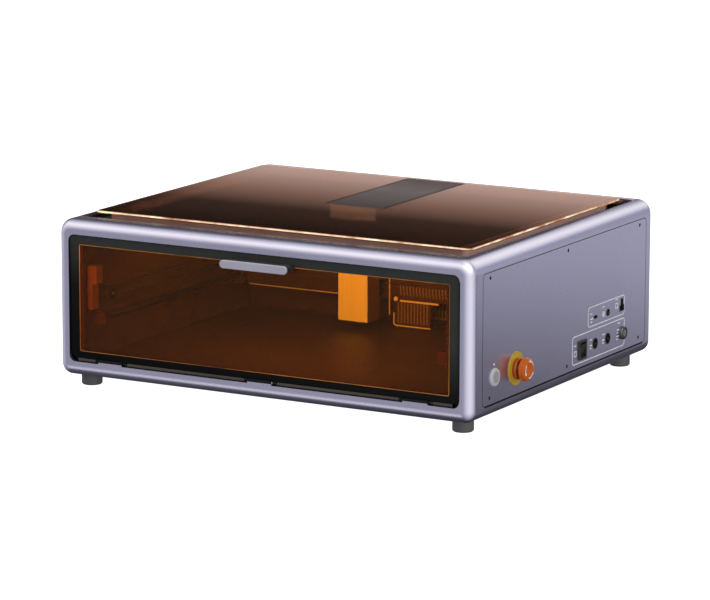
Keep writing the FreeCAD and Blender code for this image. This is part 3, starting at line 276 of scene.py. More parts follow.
class MaterialTree(Tree):
    """The node tree of a new material, with its texture coordinates and output."""

    def __init__(self, name):
        self.material = bpy.data.materials.new(name)
        self.material.use_nodes = True
        super().__init__(self.material.node_tree)
        self.out = self.add("ShaderNodeOutputMaterial")
        self.coords = self.add("ShaderNodeTexCoord")

    def across(self, axis):
        """Place from 0 to 1 across the piece's own box."""
        return self.split(self.coords.outputs["Generated"], axis)

    def noise(self, scale, detail=4.0, roughness=0.5, stretch=None):
        """Noise in the piece's own space, stretched by a scale for each axis if given."""
        node = self.add("ShaderNodeTexNoise")
        node.inputs["Scale"].default_value = scale
        node.inputs["Detail"].default_value = detail
        node.inputs["Roughness"].default_value = roughness
        source = self.coords.outputs["Object"]
        if stretch:
            mapping = self.add("ShaderNodeMapping")
            mapping.inputs["Scale"].default_value = stretch
            self.link(source, mapping.inputs["Vector"])
            source = mapping.outputs["Vector"]
        self.link(source, node.inputs["Vector"])
        return node.outputs["Fac"]

    def spread(self, value, low, high, at=(0.3, 0.7)):
        """Map a 0 to 1 texture value to a number between low and high."""
        node = self.add("ShaderNodeMapRange")
        node.inputs["From Min"].default_value = at[0]
        node.inputs["From Max"].default_value = at[1]
        node.inputs["To Min"].default_value = low
        node.inputs["To Max"].default_value = high
        self.link(value, node.inputs["Value"])
        return node.outputs["Result"]

    def bump(self, height, distance):
        """Relief of a height texture, distance deep in metres."""
        node = self.add("ShaderNodeBump")
        node.inputs["Strength"].default_value = 1.0
        node.inputs["Distance"].default_value = distance
        self.link(height, node.inputs["Height"])
        return node.outputs["Normal"]

    def mix(self, factor, a, b, blend="MIX"):
        """Two colours mixed or multiplied. Each is a socket or a plain value."""
        node = self.add("ShaderNodeMix", data_type="RGBA", blend_type=blend)
        for key, value in (("Factor", factor), ("A", a), ("B", b)):
            if isinstance(value, (float, tuple)):
                node.inputs[key].default_value = value
            else:
                self.link(value, node.inputs[key])
        return node.outputs["Result"]

    def surface(self, shader):
        """Show a shader on the material's surface."""
        self.link(shader, self.out.inputs["Surface"])

    def principled(self, **values):
        """The material's main shader, with plain values by socket name."""
        shader = self.add("ShaderNodeBsdfPrincipled")
        for key, value in values.items():
            shader.inputs[key.replace("_", " ")].default_value = value
        self.surface(shader.outputs["BSDF"])
        return shader


# --------------------------------
# Materials
# --------------------------------
WHITE = (1.0, 1.0, 1.0)
BRUSH_ALONG, BRUSH_ACROSS = 8, 900          # noise scale with and against the brush lines
BRUSH_RELIEF = 0.00002
LEAST_SMEAR = 0.001


def brush_lines(m, axis):
    """Fine lines that run along one axis."""
    stretch = tuple(BRUSH_ALONG if name == axis else BRUSH_ACROSS for name in "xyz")
    return m.noise(1.0, 3.0, 0.6, stretch)


def grained(name, dark, light, rough, grain=900.0, bump=0.00003, patch=6.0, **values):
    """A solid finish: slow colour drift, fine grain in the bump, uneven roughness."""
    m = MaterialTree(name)
    shader = m.principled(**values)
    m.link(m.ramp(m.noise(patch, 5.0), [(0.3, dark), (0.7, light)]), shader.inputs["Base Color"])
    m.link(m.spread(m.noise(patch * 5, 6.0, 0.6), *rough), shader.inputs["Roughness"])
    m.link(m.bump(m.noise(grain, 3.0, 0.6), bump), shader.inputs["Normal"])
    return m.material


def brushed(name, dark, light, rough, along, **values):
    """Metal with fine brush lines along one axis."""
    m = MaterialTree(name)
    shader = m.principled(**values)
    lines = brush_lines(m, along)
    m.link(m.ramp(lines, [(0.3, dark), (0.7, light)]), shader.inputs["Base Color"])
    m.link(m.spread(lines, *rough), shader.inputs["Roughness"])
    m.link(m.bump(lines, BRUSH_RELIEF), shader.inputs["Normal"])
    return m.material


def tinted_glass(name, tint, shadow, rough, smear, ior=1.49):
    """Coloured acrylic: it bends and mirrors light for the eye and lets lamps through."""
    m = MaterialTree(name)
    shader = m.principled(Base_Color=(*tint, 1.0), Transmission_Weight=1.0, IOR=ior)
    haze = m.spread(m.noise(14.0, 5.0, 0.6), rough, rough + smear + LEAST_SMEAR)
    m.link(haze, shader.inputs["Roughness"])
    clear = m.add("ShaderNodeBsdfTransparent")
    clear.inputs["Color"].default_value = (*shadow, 1.0)
    shadow_ray = m.add("ShaderNodeLightPath").outputs["Is Shadow Ray"]
    m.surface(m.choose(shadow_ray, shader.outputs["BSDF"], clear.outputs["BSDF"]))
    return m.material


def glowing(name, low, high, strength, scale=60.0):
    """A glowing finish, brighter in patches: a real lamp, or painted glow on a lit edge or print.
    """
    m = MaterialTree(name)
    shader = m.principled(Roughness=0.25, Emission_Strength=strength)
    colour = m.ramp(m.noise(scale, 4.0, 0.6), [(0.35, low), (0.62, high)])
    m.link(colour, shader.inputs["Base Color"])
    m.link(colour, shader.inputs["Emission Color"])
    return m.material


def silver_paint():
    """Lavender-silver powder coat: fine metal flake under a satin film."""
    m = MaterialTree("silver_lavender_coat")
    shader = m.principled(Metallic=0.90, Coat_Weight=0.04, Coat_Roughness=0.25)
    flake = m.maths("MULTIPLY_ADD", m.noise(2600.0, 2.0, 0.7), 0.75, m.noise(3.0, 3.0))
    colour = m.ramp(flake, [(0.45, (0.50, 0.48, 0.665)), (1.0, (0.58, 0.56, 0.765))])
    m.link(colour, shader.inputs["Base Color"])
    m.link(m.spread(m.noise(12.0, 3.0, 0.5), 0.25, 0.28), shader.inputs["Roughness"])
    m.link(m.bump(m.noise(1500.0, 3.0, 0.6), 0.000003), shader.inputs["Normal"])
    return m.material


def border_enamel():
    """Black border paint behind the door's face, with painted light paler up and to the right."""
    m = MaterialTree("black_border_painted_light")
    shader = m.principled(IOR=1.18)
    # Painted light: the border grows paler to the right and upwards
    place = m.maths("MULTIPLY_ADD", m.across("X"), 0.55, m.across("Z"))
    colour = m.ramp(place, [(0.2, (0.003, 0.003, 0.0035)), (0.62, (0.010, 0.010, 0.010)),
                            (1.0, (0.060, 0.064, 0.061))])
    m.link(colour, shader.inputs["Base Color"])
    m.link(m.spread(m.noise(30.0, 6.0, 0.6), 0.24, 0.34), shader.inputs["Roughness"])
    m.link(m.bump(m.noise(700.0, 3.0, 0.6), 0.000008), shader.inputs["Normal"])
    return m.material


def head_cover_metal():
    """Satin metal on the head's front, with painted brown shade on its flanks."""
    m = MaterialTree("laser_head_cover_metal")
    shader = m.principled(Metallic=0.3)
    lines = brush_lines(m, "z")
    satin = m.ramp(lines, [(0.3, (0.70, 0.76, 0.50)), (0.7, (0.84, 0.90, 0.62))])
    # Painted shade: faces turned left or right go brown
    facing = m.split(m.add("ShaderNodeNewGeometry").outputs["Normal"], "X")
    painted_flank_shade = m.spread(m.maths("ABSOLUTE", facing), 0.0, 1.0, (0.80, 0.98))
    m.link(m.mix(painted_flank_shade, satin, (0.17, 0.105, 0.06, 1.0)), shader.inputs["Base Color"])
    m.link(m.spread(lines, 0.35, 0.5), shader.inputs["Roughness"])
    m.link(m.bump(lines, BRUSH_RELIEF), shader.inputs["Normal"])
    return m.material


def rim_plastic():
    """Brown moulding under the lid; its right side has a painted glow for the casing's light."""
    m = MaterialTree("brown_rim_with_painted_glow")
    shader = m.principled(Coat_Weight=0.5, Coat_Roughness=0.1, Emission_Strength=1.0)
    colour = m.ramp(m.noise(6.0, 5.0), [(0.35, (0.60, 0.40, 0.37)), (0.65, (0.70, 0.48, 0.45))])
    m.link(colour, shader.inputs["Base Color"])
    # Painted glow on the right side only, standing in for the light it catches
    glow = m.ramp(m.across("X"), [(0.985, (0.0, 0.0, 0.0)), (0.995, (0.11, 0.070, 0.065))])
    m.link(glow, shader.inputs["Emission Color"])
    m.link(m.spread(m.noise(40.0, 4.0), 0.15, 0.3), shader.inputs["Roughness"])
    m.link(m.bump(m.noise(500.0, 3.0), 0.00001), shader.inputs["Normal"])
    return m.material


def band_film():
    """Dark film on the lid, with soft dark margins; darker in front and mid grey behind is painted
    reflection.
    """
    m = MaterialTree("camera_band_painted_reflection")
    shader = m.principled(IOR=1.05)
    margin = (0.25, 0.24, 0.24)
    # Painted reflection: the film's shade along the lid
    along = m.ramp(m.across("Y"), [(0.0, (0.062, 0.060, 0.067)), (0.6, (0.135, 0.138, 0.152)),
                                   (1.0, (0.030, 0.036, 0.050))])
    across = m.ramp(m.across("X"), [(0.0, margin), (0.10, WHITE), (0.90, WHITE), (1.0, margin)])
    m.link(m.mix(1.0, along, across, "MULTIPLY"), shader.inputs["Base Color"])
    m.link(m.spread(m.noise(30.0, 4.0), 0.14, 0.22), shader.inputs["Roughness"])
    return m.material


# Finishes by short name: grained and brushed take a dark and a light colour and a range
# of roughness, glass takes its tint and the colour of its shadow
MATERIALS = {
    "silver": silver_paint(),
    "black_gloss": border_enamel(),
    "black_matte": grained("moulded_black_plastic", (0.012, 0.012, 0.013), (0.022, 0.022, 0.023),
                           (0.42, 0.6), grain=1300.0, bump=0.00004),
    "black_metal": grained("dark_powder_coat", (0.010, 0.010, 0.011), (0.018, 0.018, 0.019),
                           (0.5, 0.65), grain=1500.0, bump=0.00005, Metallic=0.2),
    "chamber": grained("chamber_brown_coat", (0.030, 0.018, 0.016), (0.042, 0.026, 0.023),
                       (0.5, 0.65), grain=1200.0, bump=0.00005, Metallic=0.2),
    "gantry": grained("gantry_brown_coat", (0.030, 0.020, 0.018), (0.046, 0.031, 0.028),
                      (0.45, 0.6), grain=1200.0, bump=0.00005, Metallic=0.2),
    "bracket": grained("bracket_zinc_plate", (0.15, 0.12, 0.09), (0.20, 0.16, 0.12),
                       (0.4, 0.55), Metallic=0.4),
    "bright_edge": grained("pale_fitting_and_painted_edge_highlights", (0.62, 0.60, 0.50), (0.78, 0.75, 0.64),
                           (0.3, 0.45), Metallic=0.2),
    "slat": grained("slat_grey_coat", (0.13, 0.10, 0.085), (0.17, 0.135, 0.115),
                    (0.5, 0.65), grain=1200.0, bump=0.00004),
    # Near black: the screws' own colour, and painted shade in the gaps by the door, the side
    # panels and the sill
    "gap": grained("dark_screws_and_painted_gap_shade", (0.004, 0.004, 0.006), (0.010, 0.010, 0.014),
                   (0.5, 0.65), grain=800.0, IOR=1.2),
    "rubber": grained("black_rubber", (0.098, 0.096, 0.102), (0.136, 0.133, 0.142),
                      (0.45, 0.6), grain=1100.0, bump=0.00007),
    "belt": grained("ribbed_belt_rubber", (0.012, 0.012, 0.013), (0.028, 0.028, 0.028),
                    (0.55, 0.7), grain=500.0, bump=0.0001),
    "amber_door": tinted_glass("amber_door_acrylic", (0.92, 0.32, 0.028), (0.75, 0.36, 0.08),
                               0.012, 0.012, 1.25),
    "amber_lid": tinted_glass("amber_lid_acrylic", (0.24, 0.125, 0.07), (0.36, 0.18, 0.07),
                              0.015, 0.03),
    "rim_brown": rim_plastic(),
    "film": band_film(),
    "grille": grained("grille_grey_coat", (0.16, 0.15, 0.14), (0.22, 0.21, 0.19),
                      (0.4, 0.55), grain=1300.0, bump=0.00004),
    "housing": grained("housing_grey_plastic", (0.20, 0.19, 0.18), (0.28, 0.27, 0.25),
                       (0.35, 0.5), grain=1300.0, bump=0.00004),
    "lock_dark": grained("lock_dark_chrome", (0.07, 0.07, 0.075), (0.12, 0.12, 0.125),
                         (0.15, 0.3), Metallic=1.0),
    "handle": grained("handle_silver_enamel", (0.56, 0.55, 0.67), (0.64, 0.63, 0.77),
                      (0.35, 0.45), grain=900.0, bump=0.00001, Metallic=0.35),
    "bed": brushed("scorched_bed_steel", (0.022, 0.012, 0.007), (0.034, 0.020, 0.012),
                   (0.45, 0.6), "x", Metallic=0.2),
    "steel": brushed("ground_steel", (0.55, 0.55, 0.57), (0.75, 0.75, 0.77),
                     (0.15, 0.28), "y", Metallic=1.0),
    "dark_steel": grained("blackened_steel", (0.015, 0.015, 0.016), (0.035, 0.035, 0.037),
                          (0.3, 0.45), grain=900.0, Metallic=0.8),
    "aluminium": brushed("anodised_aluminium", (0.50, 0.51, 0.53), (0.66, 0.67, 0.69),
                         (0.3, 0.42), "x", Metallic=0.9),
    "head": head_cover_metal(),
    "lamp": glowing("light_bar_diffuser", (0.95, 0.90, 0.80), (1.0, 0.96, 0.88), 2.0, 20.0),
    "ring_white": grained("white_ring_plastic", (0.72, 0.72, 0.71), (0.84, 0.84, 0.83),
                          (0.25, 0.4)),
    "lamp_grey": grained("grey_button_plastic", (0.42, 0.42, 0.44), (0.55, 0.55, 0.57),
                         (0.35, 0.5)),
    "yellow": grained("safety_yellow", (0.62, 0.42, 0.015), (0.78, 0.56, 0.03), (0.3, 0.45)),
    "orange": grained("stop_button_orange", (0.80, 0.135, 0.002), (0.92, 0.19, 0.004),
                      (0.24, 0.36), grain=400.0, bump=0.00001, IOR=1.35),
    "collar": grained("stop_collar_orange", (0.40, 0.070, 0.002), (0.55, 0.11, 0.004),
                      (0.12, 0.2), grain=400.0, bump=0.00001),
    "chrome": grained("lock_chrome", (0.55, 0.55, 0.57), (0.70, 0.70, 0.72),
                      (0.10, 0.22), Metallic=1.0),
    "board": grained("green_board", (0.006, 0.05, 0.022), (0.012, 0.09, 0.04),
                     (0.25, 0.45), patch=60.0),
    "brass": brushed("turned_brass", (0.60, 0.40, 0.15), (0.80, 0.58, 0.25),
                     (0.2, 0.35), "z", Metallic=1.0),
    # White print, with a faint painted glow
    "glowing_white_ink": glowing("white_print_with_painted_glow", (0.76, 0.76, 0.80), (0.90, 0.90, 0.93), 0.22),
    # The lid's edge and the window's line glow: painted highlights
    "edge_cream": glowing("lit_lid_edge", (0.34, 0.13, 0.05), (1.0, 0.80, 0.55), 0.95, 34.0),
    "edge_amber": glowing("lit_window_edge", (0.09, 0.025, 0.006), (0.60, 0.22, 0.03), 0.42, 9.0),
    "sill": grained("brown_sill_strip", (0.085, 0.066, 0.058), (0.12, 0.095, 0.083), (0.3, 0.45)),
}

# CAD nodes that are shown as they are, by finish
NODE_FINISH = {
    "silver": ("body_shell", "base_plate", "left_side_panel", "right_side_panel", "rear_panel"),
    "rubber": ("rubber_feet", "opening_seals"),
    "gap": ("case_screws",),
    "black_metal": ("top_deck", "front_frame"),
    "chamber": ("chamber_liners", "rail_mounts"),
    "sill": ("door_sill", "lid_hinge_knuckles"),
    "bed": ("work_bed",),
    "lamp": ("light_bar",),
    "steel": ("pivot_pins", "estop_stem"),
    "bracket": ("door_switch",),
    "black_gloss": ("door_frame", "rocker_paddle"),
    "amber_door": ("door_window",),
    "handle": ("handle_cap",),
    "rim_brown": ("lid_rim",),
    "housing": ("camera_housing",),
    "dark_steel": ("lid_hinge_brackets", "guide_rods", "side_motor", "drive_pulleys",
                   "idler_pulleys", "cross_motor", "head_carriage"),
    "belt": ("side_belts", "cross_belt"),
    "gantry": ("gantry_beam", "gantry_blocks", "cross_rail"),
    "aluminium": ("cross_pulley", "cross_idler", "laser_core"),
    "head": ("head_cover",),
    "brass": ("laser_nozzle",),
    "grille": ("exhaust_grille",),
    "black_matte": ("handle_base", "camera_band", "head_fan_rotor", "exhaust_fan_frame",
                    "exhaust_rotor", "exhaust_duct", "rocker_frame", "panel_sockets"),
    "ring_white": ("power_ring",),
    "lamp_grey": ("power_button",),
    "yellow": ("estop_plate",),
    "collar": ("estop_body",),
    "lock_dark": ("key_lock",),
    "chrome": ("key_barrel",),
    "board": ("control_board",),
}


def finish_nodes():
    """The CAD nodes that show as they are take their finish here."""
    for finish, nodes in NODE_FINISH.items():
        for node in nodes:
            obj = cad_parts[node]
            obj.data.materials.clear()
            obj.data.materials.append(MATERIALS[finish])


# --------------------------------
# Lid: amber pane with a lit polished edge, and the dark film down its middle
# --------------------------------
LID_CORNER = 6.0 * MM
LID_RIMS = (0.3 * MM, 0.6 * MM)       # rounding of the pane's lower and upper rim
# Section of the lit edge, in mm: inset from the lid's outline, height from the pane's top
LIT_EDGE = ((-0.12, -2.0), (-0.12, -0.7), (0.25, -0.12), (0.55, 0.03),
            (0.55, -0.25), (0.3, -0.8), (0.3, -2.0))
LIT_EDGE_ANGLE = 60
FILM_T = 0.1 * MM
FILM_CORNER = 1.0 * MM
FILM_END = 1.5 * MM                   # from the film to the lid's rear edge


def make_lid():
    """The pane stands for the CAD plate; its lit edge and the film lie on it."""
    lo, hi = LID_LO, LID_HI
    top = hi.z - FILM_T
    pane = slab("lid_pane", "z", lo, Vector((hi.x, hi.y, top)), LID_CORNER, *LID_RIMS)
    dress(shade(pane), MATERIALS["amber_lid"], "lid", ("lid_plate",))
    section = [(inset * MM, top + height * MM) for inset, height in LIT_EDGE]
    edge = ring_strip("lid_lit_edge", "z", (lo.x, hi.x, lo.y, hi.y), LID_CORNER, section)
    dress(shade(edge, LIT_EDGE_ANGLE), MATERIALS["edge_cream"], "lid")
    film = slab("lid_film", "z", Vector((BAND_LO.x, BAND_LO.y, top)),
                Vector((BAND_HI.x, hi.y - FILM_END, hi.z)), FILM_CORNER)
    dress(film, MATERIALS["film"], "lid")


# --------------------------------
# Door: the window's lit line, and the dark gaps beside and below the door
# --------------------------------
DOOR_CORNER = 7.5 * MM
WINDOW_HALF = 254.0 * MM              # half the width of the window's rebate
WINDOW_Z = (46.4 * MM, 178.2 * MM)
WINDOW_CORNER = 2.0 * MM
LINE_W = 0.7 * MM
LINE_PROUD, LINE_SUNK = 0.1 * MM, 0.3 * MM
LINE_ANGLE = 30
SIDE_GAPS = (0.9 * MM, 1.4 * MM)      # painted shade in the gap left and right of the door
SIDE_CLEAR = 0.05 * MM                # from the strip of painted shade to the door
SIDE_PROUD, SIDE_SUNK = 0.03 * MM, 1.5 * MM
TAB_OFFSETS = (-210.0 * MM, 0.0, 210.0 * MM)
TAB_W = 33.0 * MM
TAB_TOP = 38.2 * MM                   # top of the casing tabs that carry the door's pins
TAB_SHADE_H = 5.2 * MM                  # dark painted shade over each tab's top
TAB_SHADE_T = 5.0 * MM
TAB_SHADE_PROUD = 0.04 * MM
TAB_SHADE_CORNER = 2.34 * MM
SILL_BREAK = 23.2 * MM                # from a tab's middle to the strips beside it
SILL_SHADE_T, SILL_SHADE_H = 1.2 * MM, 1.3 * MM   # painted shade along the foot of those strips


def make_window_line():
    """Lit edge that the window's rebate shows as a thin bright line."""
    y = WINDOW_LO.y
    line = ring_strip("window_lit_edge", "y",
                      (MID_X - WINDOW_HALF, MID_X + WINDOW_HALF, *WINDOW_Z), WINDOW_CORNER,
                      flat_section(LINE_W, y + LINE_SUNK, y - LINE_PROUD))
    dress(shade(line, LINE_ANGLE), MATERIALS["edge_amber"], "door")


def make_door_gap_shade():
    """Dark strips in the gap at each side of the door: painted shade."""
    left, right = SIDE_GAPS
    spans = ((DOOR_LO.x - left, DOOR_LO.x - SIDE_CLEAR),
             (DOOR_HI.x + SIDE_CLEAR, DOOR_HI.x + right))
    bars = [slab("bar", "z", Vector((x0, FRONT_Y - SIDE_PROUD, DOOR_LO.z + DOOR_CORNER)),
                 Vector((x1, FRONT_Y + SIDE_SUNK, DOOR_HI.z - DOOR_CORNER)))
            for x0, x1 in spans]
    dress(join("door_side_gap_shade", bars), MATERIALS["gap"], "chassis")


def make_sill_shade():
    """Painted shade: a dark strip along the sill's foot and a dark cap over each hinge tab."""
    tabs = [MID_X + offset for offset in TAB_OFFSETS]
    breaks = [tab + sign * SILL_BREAK for tab in tabs for sign in (-1, 1)]
    ends = [SILL_LO.x] + breaks + [SILL_HI.x]
    strips = [slab("shade_strip", "x", Vector((x0, SILL_LO.y - SILL_SHADE_T, SILL_LO.z)),
                   Vector((x1, SILL_LO.y, SILL_LO.z + SILL_SHADE_H)))
              for x0, x1 in zip(ends[::2], ends[1::2])]
    strips += [slab("cap", "x",
                    Vector((tab - TAB_W / 2, FRONT_Y - TAB_SHADE_PROUD, TAB_TOP - TAB_SHADE_H)),
                    Vector((tab + TAB_W / 2, FRONT_Y + TAB_SHADE_T, TAB_TOP + TAB_SHADE_PROUD)),
                    TAB_SHADE_CORNER) for tab in tabs]
    dress(join("sill_painted_shade", strips), MATERIALS["gap"], "chassis")


# --------------------------------
# Painted shade in the gaps round the side panels
# --------------------------------
PANEL_CORNER = 6.0 * MM
GAP_W = 0.9 * MM
GAP_FOOT = 2.1 * MM                   # the painted shade is wider under the panel
GAP_PROUD, GAP_SUNK = 0.03 * MM, 0.5 * MM


def make_panel_gaps():
    """A dark strip in the gap round each side panel, wider under it: painted shade."""
    for name, lo, hi, face, out in (("right_panel_gap", RIGHT_LO, RIGHT_HI, RIGHT_HI.x, 1),
                                    ("left_panel_gap", LEFT_LO, LEFT_HI, LEFT_LO.x, -1)):
        inner = face - out * GAP_SUNK
        outer = face + out * GAP_PROUD
        rect = (lo.y - GAP_W, hi.y + GAP_W, lo.z - GAP_W, hi.z + GAP_W)
        shade_strip = ring_strip("shade_strip", "x", rect, PANEL_CORNER + GAP_W,
                          flat_section(GAP_W, inner, outer))
        foot = slab("foot", "x",
                    Vector((min(inner, outer), lo.y + PANEL_CORNER, lo.z - GAP_FOOT)),
                    Vector((max(inner, outer), hi.y - PANEL_CORNER, lo.z)))
        dress(join(name, [shade_strip, foot]), MATERIALS["gap"], "chassis")


# --------------------------------
# Gantry: slatted guard under the beam, ribs above it, painted edge highlights and a hose fitting
# --------------------------------
GUARD_X = (-25.0 * MM, 27.0 * MM)     # ends of the guard
GUARD_DROP = 33.0 * MM                # its depth under the beam
GUARD_T = 1.2 * MM
GUARD_BACK = 2.0 * MM                 # from the beam's face to the guard's back
SLAT_W = 1.7 * MM
SLAT_PITCH = 4.6 * MM
SLAT_T = 0.8 * MM
SLAT_ENDS = (5.0 * MM, 2.0 * MM)      # bare ends of the guard, left and right
SLAT_Z = (4.0 * MM, 3.0 * MM)         # bare strips at its foot and top
RIB_ENDS = (9.0 * MM, 32.0 * MM)      # ribs: from the guard's left end, and past its right
RIB_FOOT = 6.5 * MM                   # up from the beam's lower edge
RIB_SHIFT = 1.8 * MM                  # ribs on the rail stand beside those on the beam
RIB_PROUD = {"beam": 0.15 * MM, "rail": 0.12 * MM}
RIB_SUNK = 0.2 * MM
LIP_ENDS = (2.0 * MM, 8.0 * MM)       # from the beam's left end, and past the head's left
LIP_T, LIP_HALF_H = 0.4 * MM, 0.5 * MM
RAIL_LIP_X = (-16.0 * MM, 39.0 * MM)  # thicker lip behind the head
RAIL_LIP_T = 1.5 * MM
RAIL_LIP_Z = (-1.6 * MM, 0.6 * MM)
EDGE_CORNER = 3.5 * MM                # painted highlight on the edge that runs down and round under the guard
EDGE_OUT = 0.3 * MM
EDGE_TOP = 17.0 * MM                  # its top, down from the beam
EDGE_HALF = 0.7 * MM
EDGE_Y = (-0.4 * MM, 2.0 * MM)
EDGE_TURNS = 6                        # segments round its corner
UPRIGHT_X = -32.4 * MM
UPRIGHT_W = 1.5 * MM
UPRIGHT_SHIFT = 2.8 * MM              # its stretch on the rail stands beside the others
UPRIGHT_DROP = 20.0 * MM              # its foot, under the beam
UPRIGHT_TOP = 1.0 * MM                # its top, down from the beam's
UPRIGHT_PROUD = {"beam": 0.3 * MM, "rail": 0.15 * MM}
FITTING_AT = (-21.6 * MM, 1.5 * MM)   # across, and up from the beam's lower edge
FITTING = ((2.0, -3.2), (2.9, -2.6), (2.9, -0.8), (1.8, 0.0))   # radius and place, in mm
FITTING_STEPS = 24


def row(start, end, pitch):
    """Places a pitch apart from start, all short of end."""
    x = start
    while x < end:
        yield x
        x += pitch


def make_gantry_guard():
    """Guard plate with upright slats, and ribs on the beam and the rail above it."""
    x0, x1 = GUARD_X
    back = BEAM_LO.y + GUARD_BACK
    face = back - GUARD_T
    top = BEAM_LO.z
    low = top - GUARD_DROP
    plate = bar("gantry_guard", x0, x1, face, back, low, top)
    dress(plate, MATERIALS["gantry"], "gantry")
    slats = [bar("slat", x, x + SLAT_W, face - SLAT_T, face, low + SLAT_Z[0], top - SLAT_Z[1])
             for x in row(x0 + SLAT_ENDS[0], x1 - SLAT_ENDS[1], SLAT_PITCH)]
    for x in row(x0 + RIB_ENDS[0], x1 + RIB_ENDS[1], SLAT_PITCH):
        slats.append(bar("slat", x, x + SLAT_W, BEAM_LO.y - RIB_PROUD["beam"],
                         BEAM_LO.y + RIB_SUNK, top + RIB_FOOT, RAIL_LO.z))
        slats.append(bar("slat", x + RIB_SHIFT, x + RIB_SHIFT + SLAT_W,
                         RAIL_LO.y - RIB_PROUD["rail"], RAIL_LO.y + RIB_SUNK,
                         RAIL_LO.z, RAIL_HI.z))
    dress(join("gantry_slats", slats), MATERIALS["slat"], "gantry")


def guard_edge():
    """Painted highlight down the guard's left end, round its corner and along its foot."""
    x0 = GUARD_X[0] - EDGE_OUT
    low = BEAM_LO.z - GUARD_DROP
    turns = [math.radians(90 * k / EDGE_TURNS) for k in range(1, EDGE_TURNS + 1)]
    path = [(x0, BEAM_LO.z - EDGE_TOP), (x0, low + EDGE_CORNER)]
    path += [(x0 + EDGE_CORNER - EDGE_CORNER * math.cos(a),
              low + EDGE_CORNER - EDGE_CORNER * math.sin(a)) for a in turns]
    path.append((GUARD_X[1], low))
    front, back = EDGE_Y
    loops = []
    for k, (x, z) in enumerate(path):
        before = path[max(k - 1, 0)]
        after = path[min(k + 1, len(path) - 1)]
        along = Vector((after[0] - before[0], 0.0, after[1] - before[1])).normalized()
        across = Vector((along.z, 0.0, -along.x)) * EDGE_HALF
        middle = Vector((x, BEAM_LO.y, z))
        loops.append([middle + sign * across + Vector((0.0, depth, 0.0))
                      for sign, depth in ((1, front), (1, back), (-1, back), (-1, front))])
    return loft("edge", loops)


def make_gantry_lines():
    """Painted highlights on the beam's lower lips, the guard's edge and an upright strip, and a
    hose fitting.
    """
    y, z = BEAM_LO.y, BEAM_LO.z
    lines = [
        bar("lip", BEAM_LO.x + LIP_ENDS[0], HEAD_LO.x + LIP_ENDS[1], y - LIP_T, y,
            z - LIP_HALF_H, z + LIP_HALF_H),
        bar("lip", *RAIL_LIP_X, y - RAIL_LIP_T, y, z + RAIL_LIP_Z[0], z + RAIL_LIP_Z[1]),
        guard_edge(),
    ]
    for plane, shift, foot, top in (("beam", 0.0, z - UPRIGHT_DROP, RAIL_LO.z),
                                    ("rail", UPRIGHT_SHIFT, RAIL_LO.z, RAIL_HI.z),
                                    ("beam", 0.0, RAIL_HI.z, BEAM_HI.z - UPRIGHT_TOP)):
        x = UPRIGHT_X + shift
        face = RAIL_LO.y if plane == "rail" else y
        lines.append(bar("upright", x, x + UPRIGHT_W, face - UPRIGHT_PROUD[plane], face,
                         foot, top))
    lines.append(turned("fitting", Vector((FITTING_AT[0], y, z + FITTING_AT[1])), "y",
                        [(r * MM, h * MM) for r, h in FITTING], FITTING_STEPS))
    dress(join("gantry_edge_highlights_and_fitting", lines), MATERIALS["bright_edge"], "gantry")


# --------------------------------
# Printed marks on the right side panel, in mm back from the casing's face and up
# --------------------------------
ORIGIN_Y = 247.95
INK_T = 0.12 * MM
INK_STEPS = 8
INK_OUTLINES = ((303.4, 405.8, 76.0, 101.0), (261.0, 406.3, 36.5, 72.0))
OUTLINE_CORNER, OUTLINE_W = 5.0, 1.1
RING_R = 3.3
RING_W = RING_R / 3.5
SQUARE_HALF = 3.5
SQUARE_CORNER, SQUARE_W = 7.0 / 8, 1.0
# Marks beside the sockets: place and kind
MARKS = (
    (56.3, 77.3, "dot"),
    (312.0, 92.0, "dash"), (314.0, 83.5, "bars"),
    (346.0, 95.0, "dash"), (346.5, 86.0, "ring"),
    (383.0, 98.0, "dash"), (383.5, 90.0, "square"),
    (269.0, 60.0, "dash"), (269.5, 50.0, "square"),
    (312.0, 60.0, "dash"), (312.5, 51.0, "bars"),
    (347.0, 60.5, "dash"), (347.0, 51.5, "bars"),
    (390.0, 67.0, "dash"), (387.0, 49.0, "bars"), (388.0, 57.0, "bars"),
)
# Filled shapes in each kind of mark: shift back and up, width, height, corner
SHAPES = {
    "ring": ((0.0, 0.0, 1.5, 3.6, 0.3),),
    "square": (),
    "bars": ((0.0, 2.0, 6.6, 1.5, 0.3), (-1.2, -1.6, 4.0, 1.5, 0.3)),
    "dash": ((0.0, 0.0, 6.0, 1.3, 0.3),),
    "dot": ((0.0, 0.0, 2.8, 2.8, 1.3),),
}


def side_place(y, z):
    """A place on the right side panel, in metres."""
    return (y - ORIGIN_Y) * MM, z * MM


def ink_frame(y0, y1, z0, z1, corner, width):
    """A printed outline: a thin rounded frame on the panel."""
    u0, v0 = side_place(y0, z0)
    u1, v1 = side_place(y1, z1)
    return ring_strip("ink", "x", (u0, u1, v0, v1), corner * MM,
                      flat_section(width * MM, RIGHT_HI.x, RIGHT_HI.x + INK_T), INK_STEPS)


def ink_open(y, z, half, corner, width):
    """A printed outline round a middle: a square, or a ring when corner is half its size."""
    return ink_frame(y - half, y + half, z - half, z + half, corner, width)


def ink_bar(y, z, width, height, corner):
    """A printed bar round a middle."""
    u, v = side_place(y, z)
    half_w, half_h = width * MM / 2, height * MM / 2
    return slab("ink", "x", Vector((RIGHT_HI.x, u - half_w, v - half_h)),
                Vector((RIGHT_HI.x + INK_T, u + half_w, v + half_h)), corner * MM,
                steps=COARSE_STEPS)


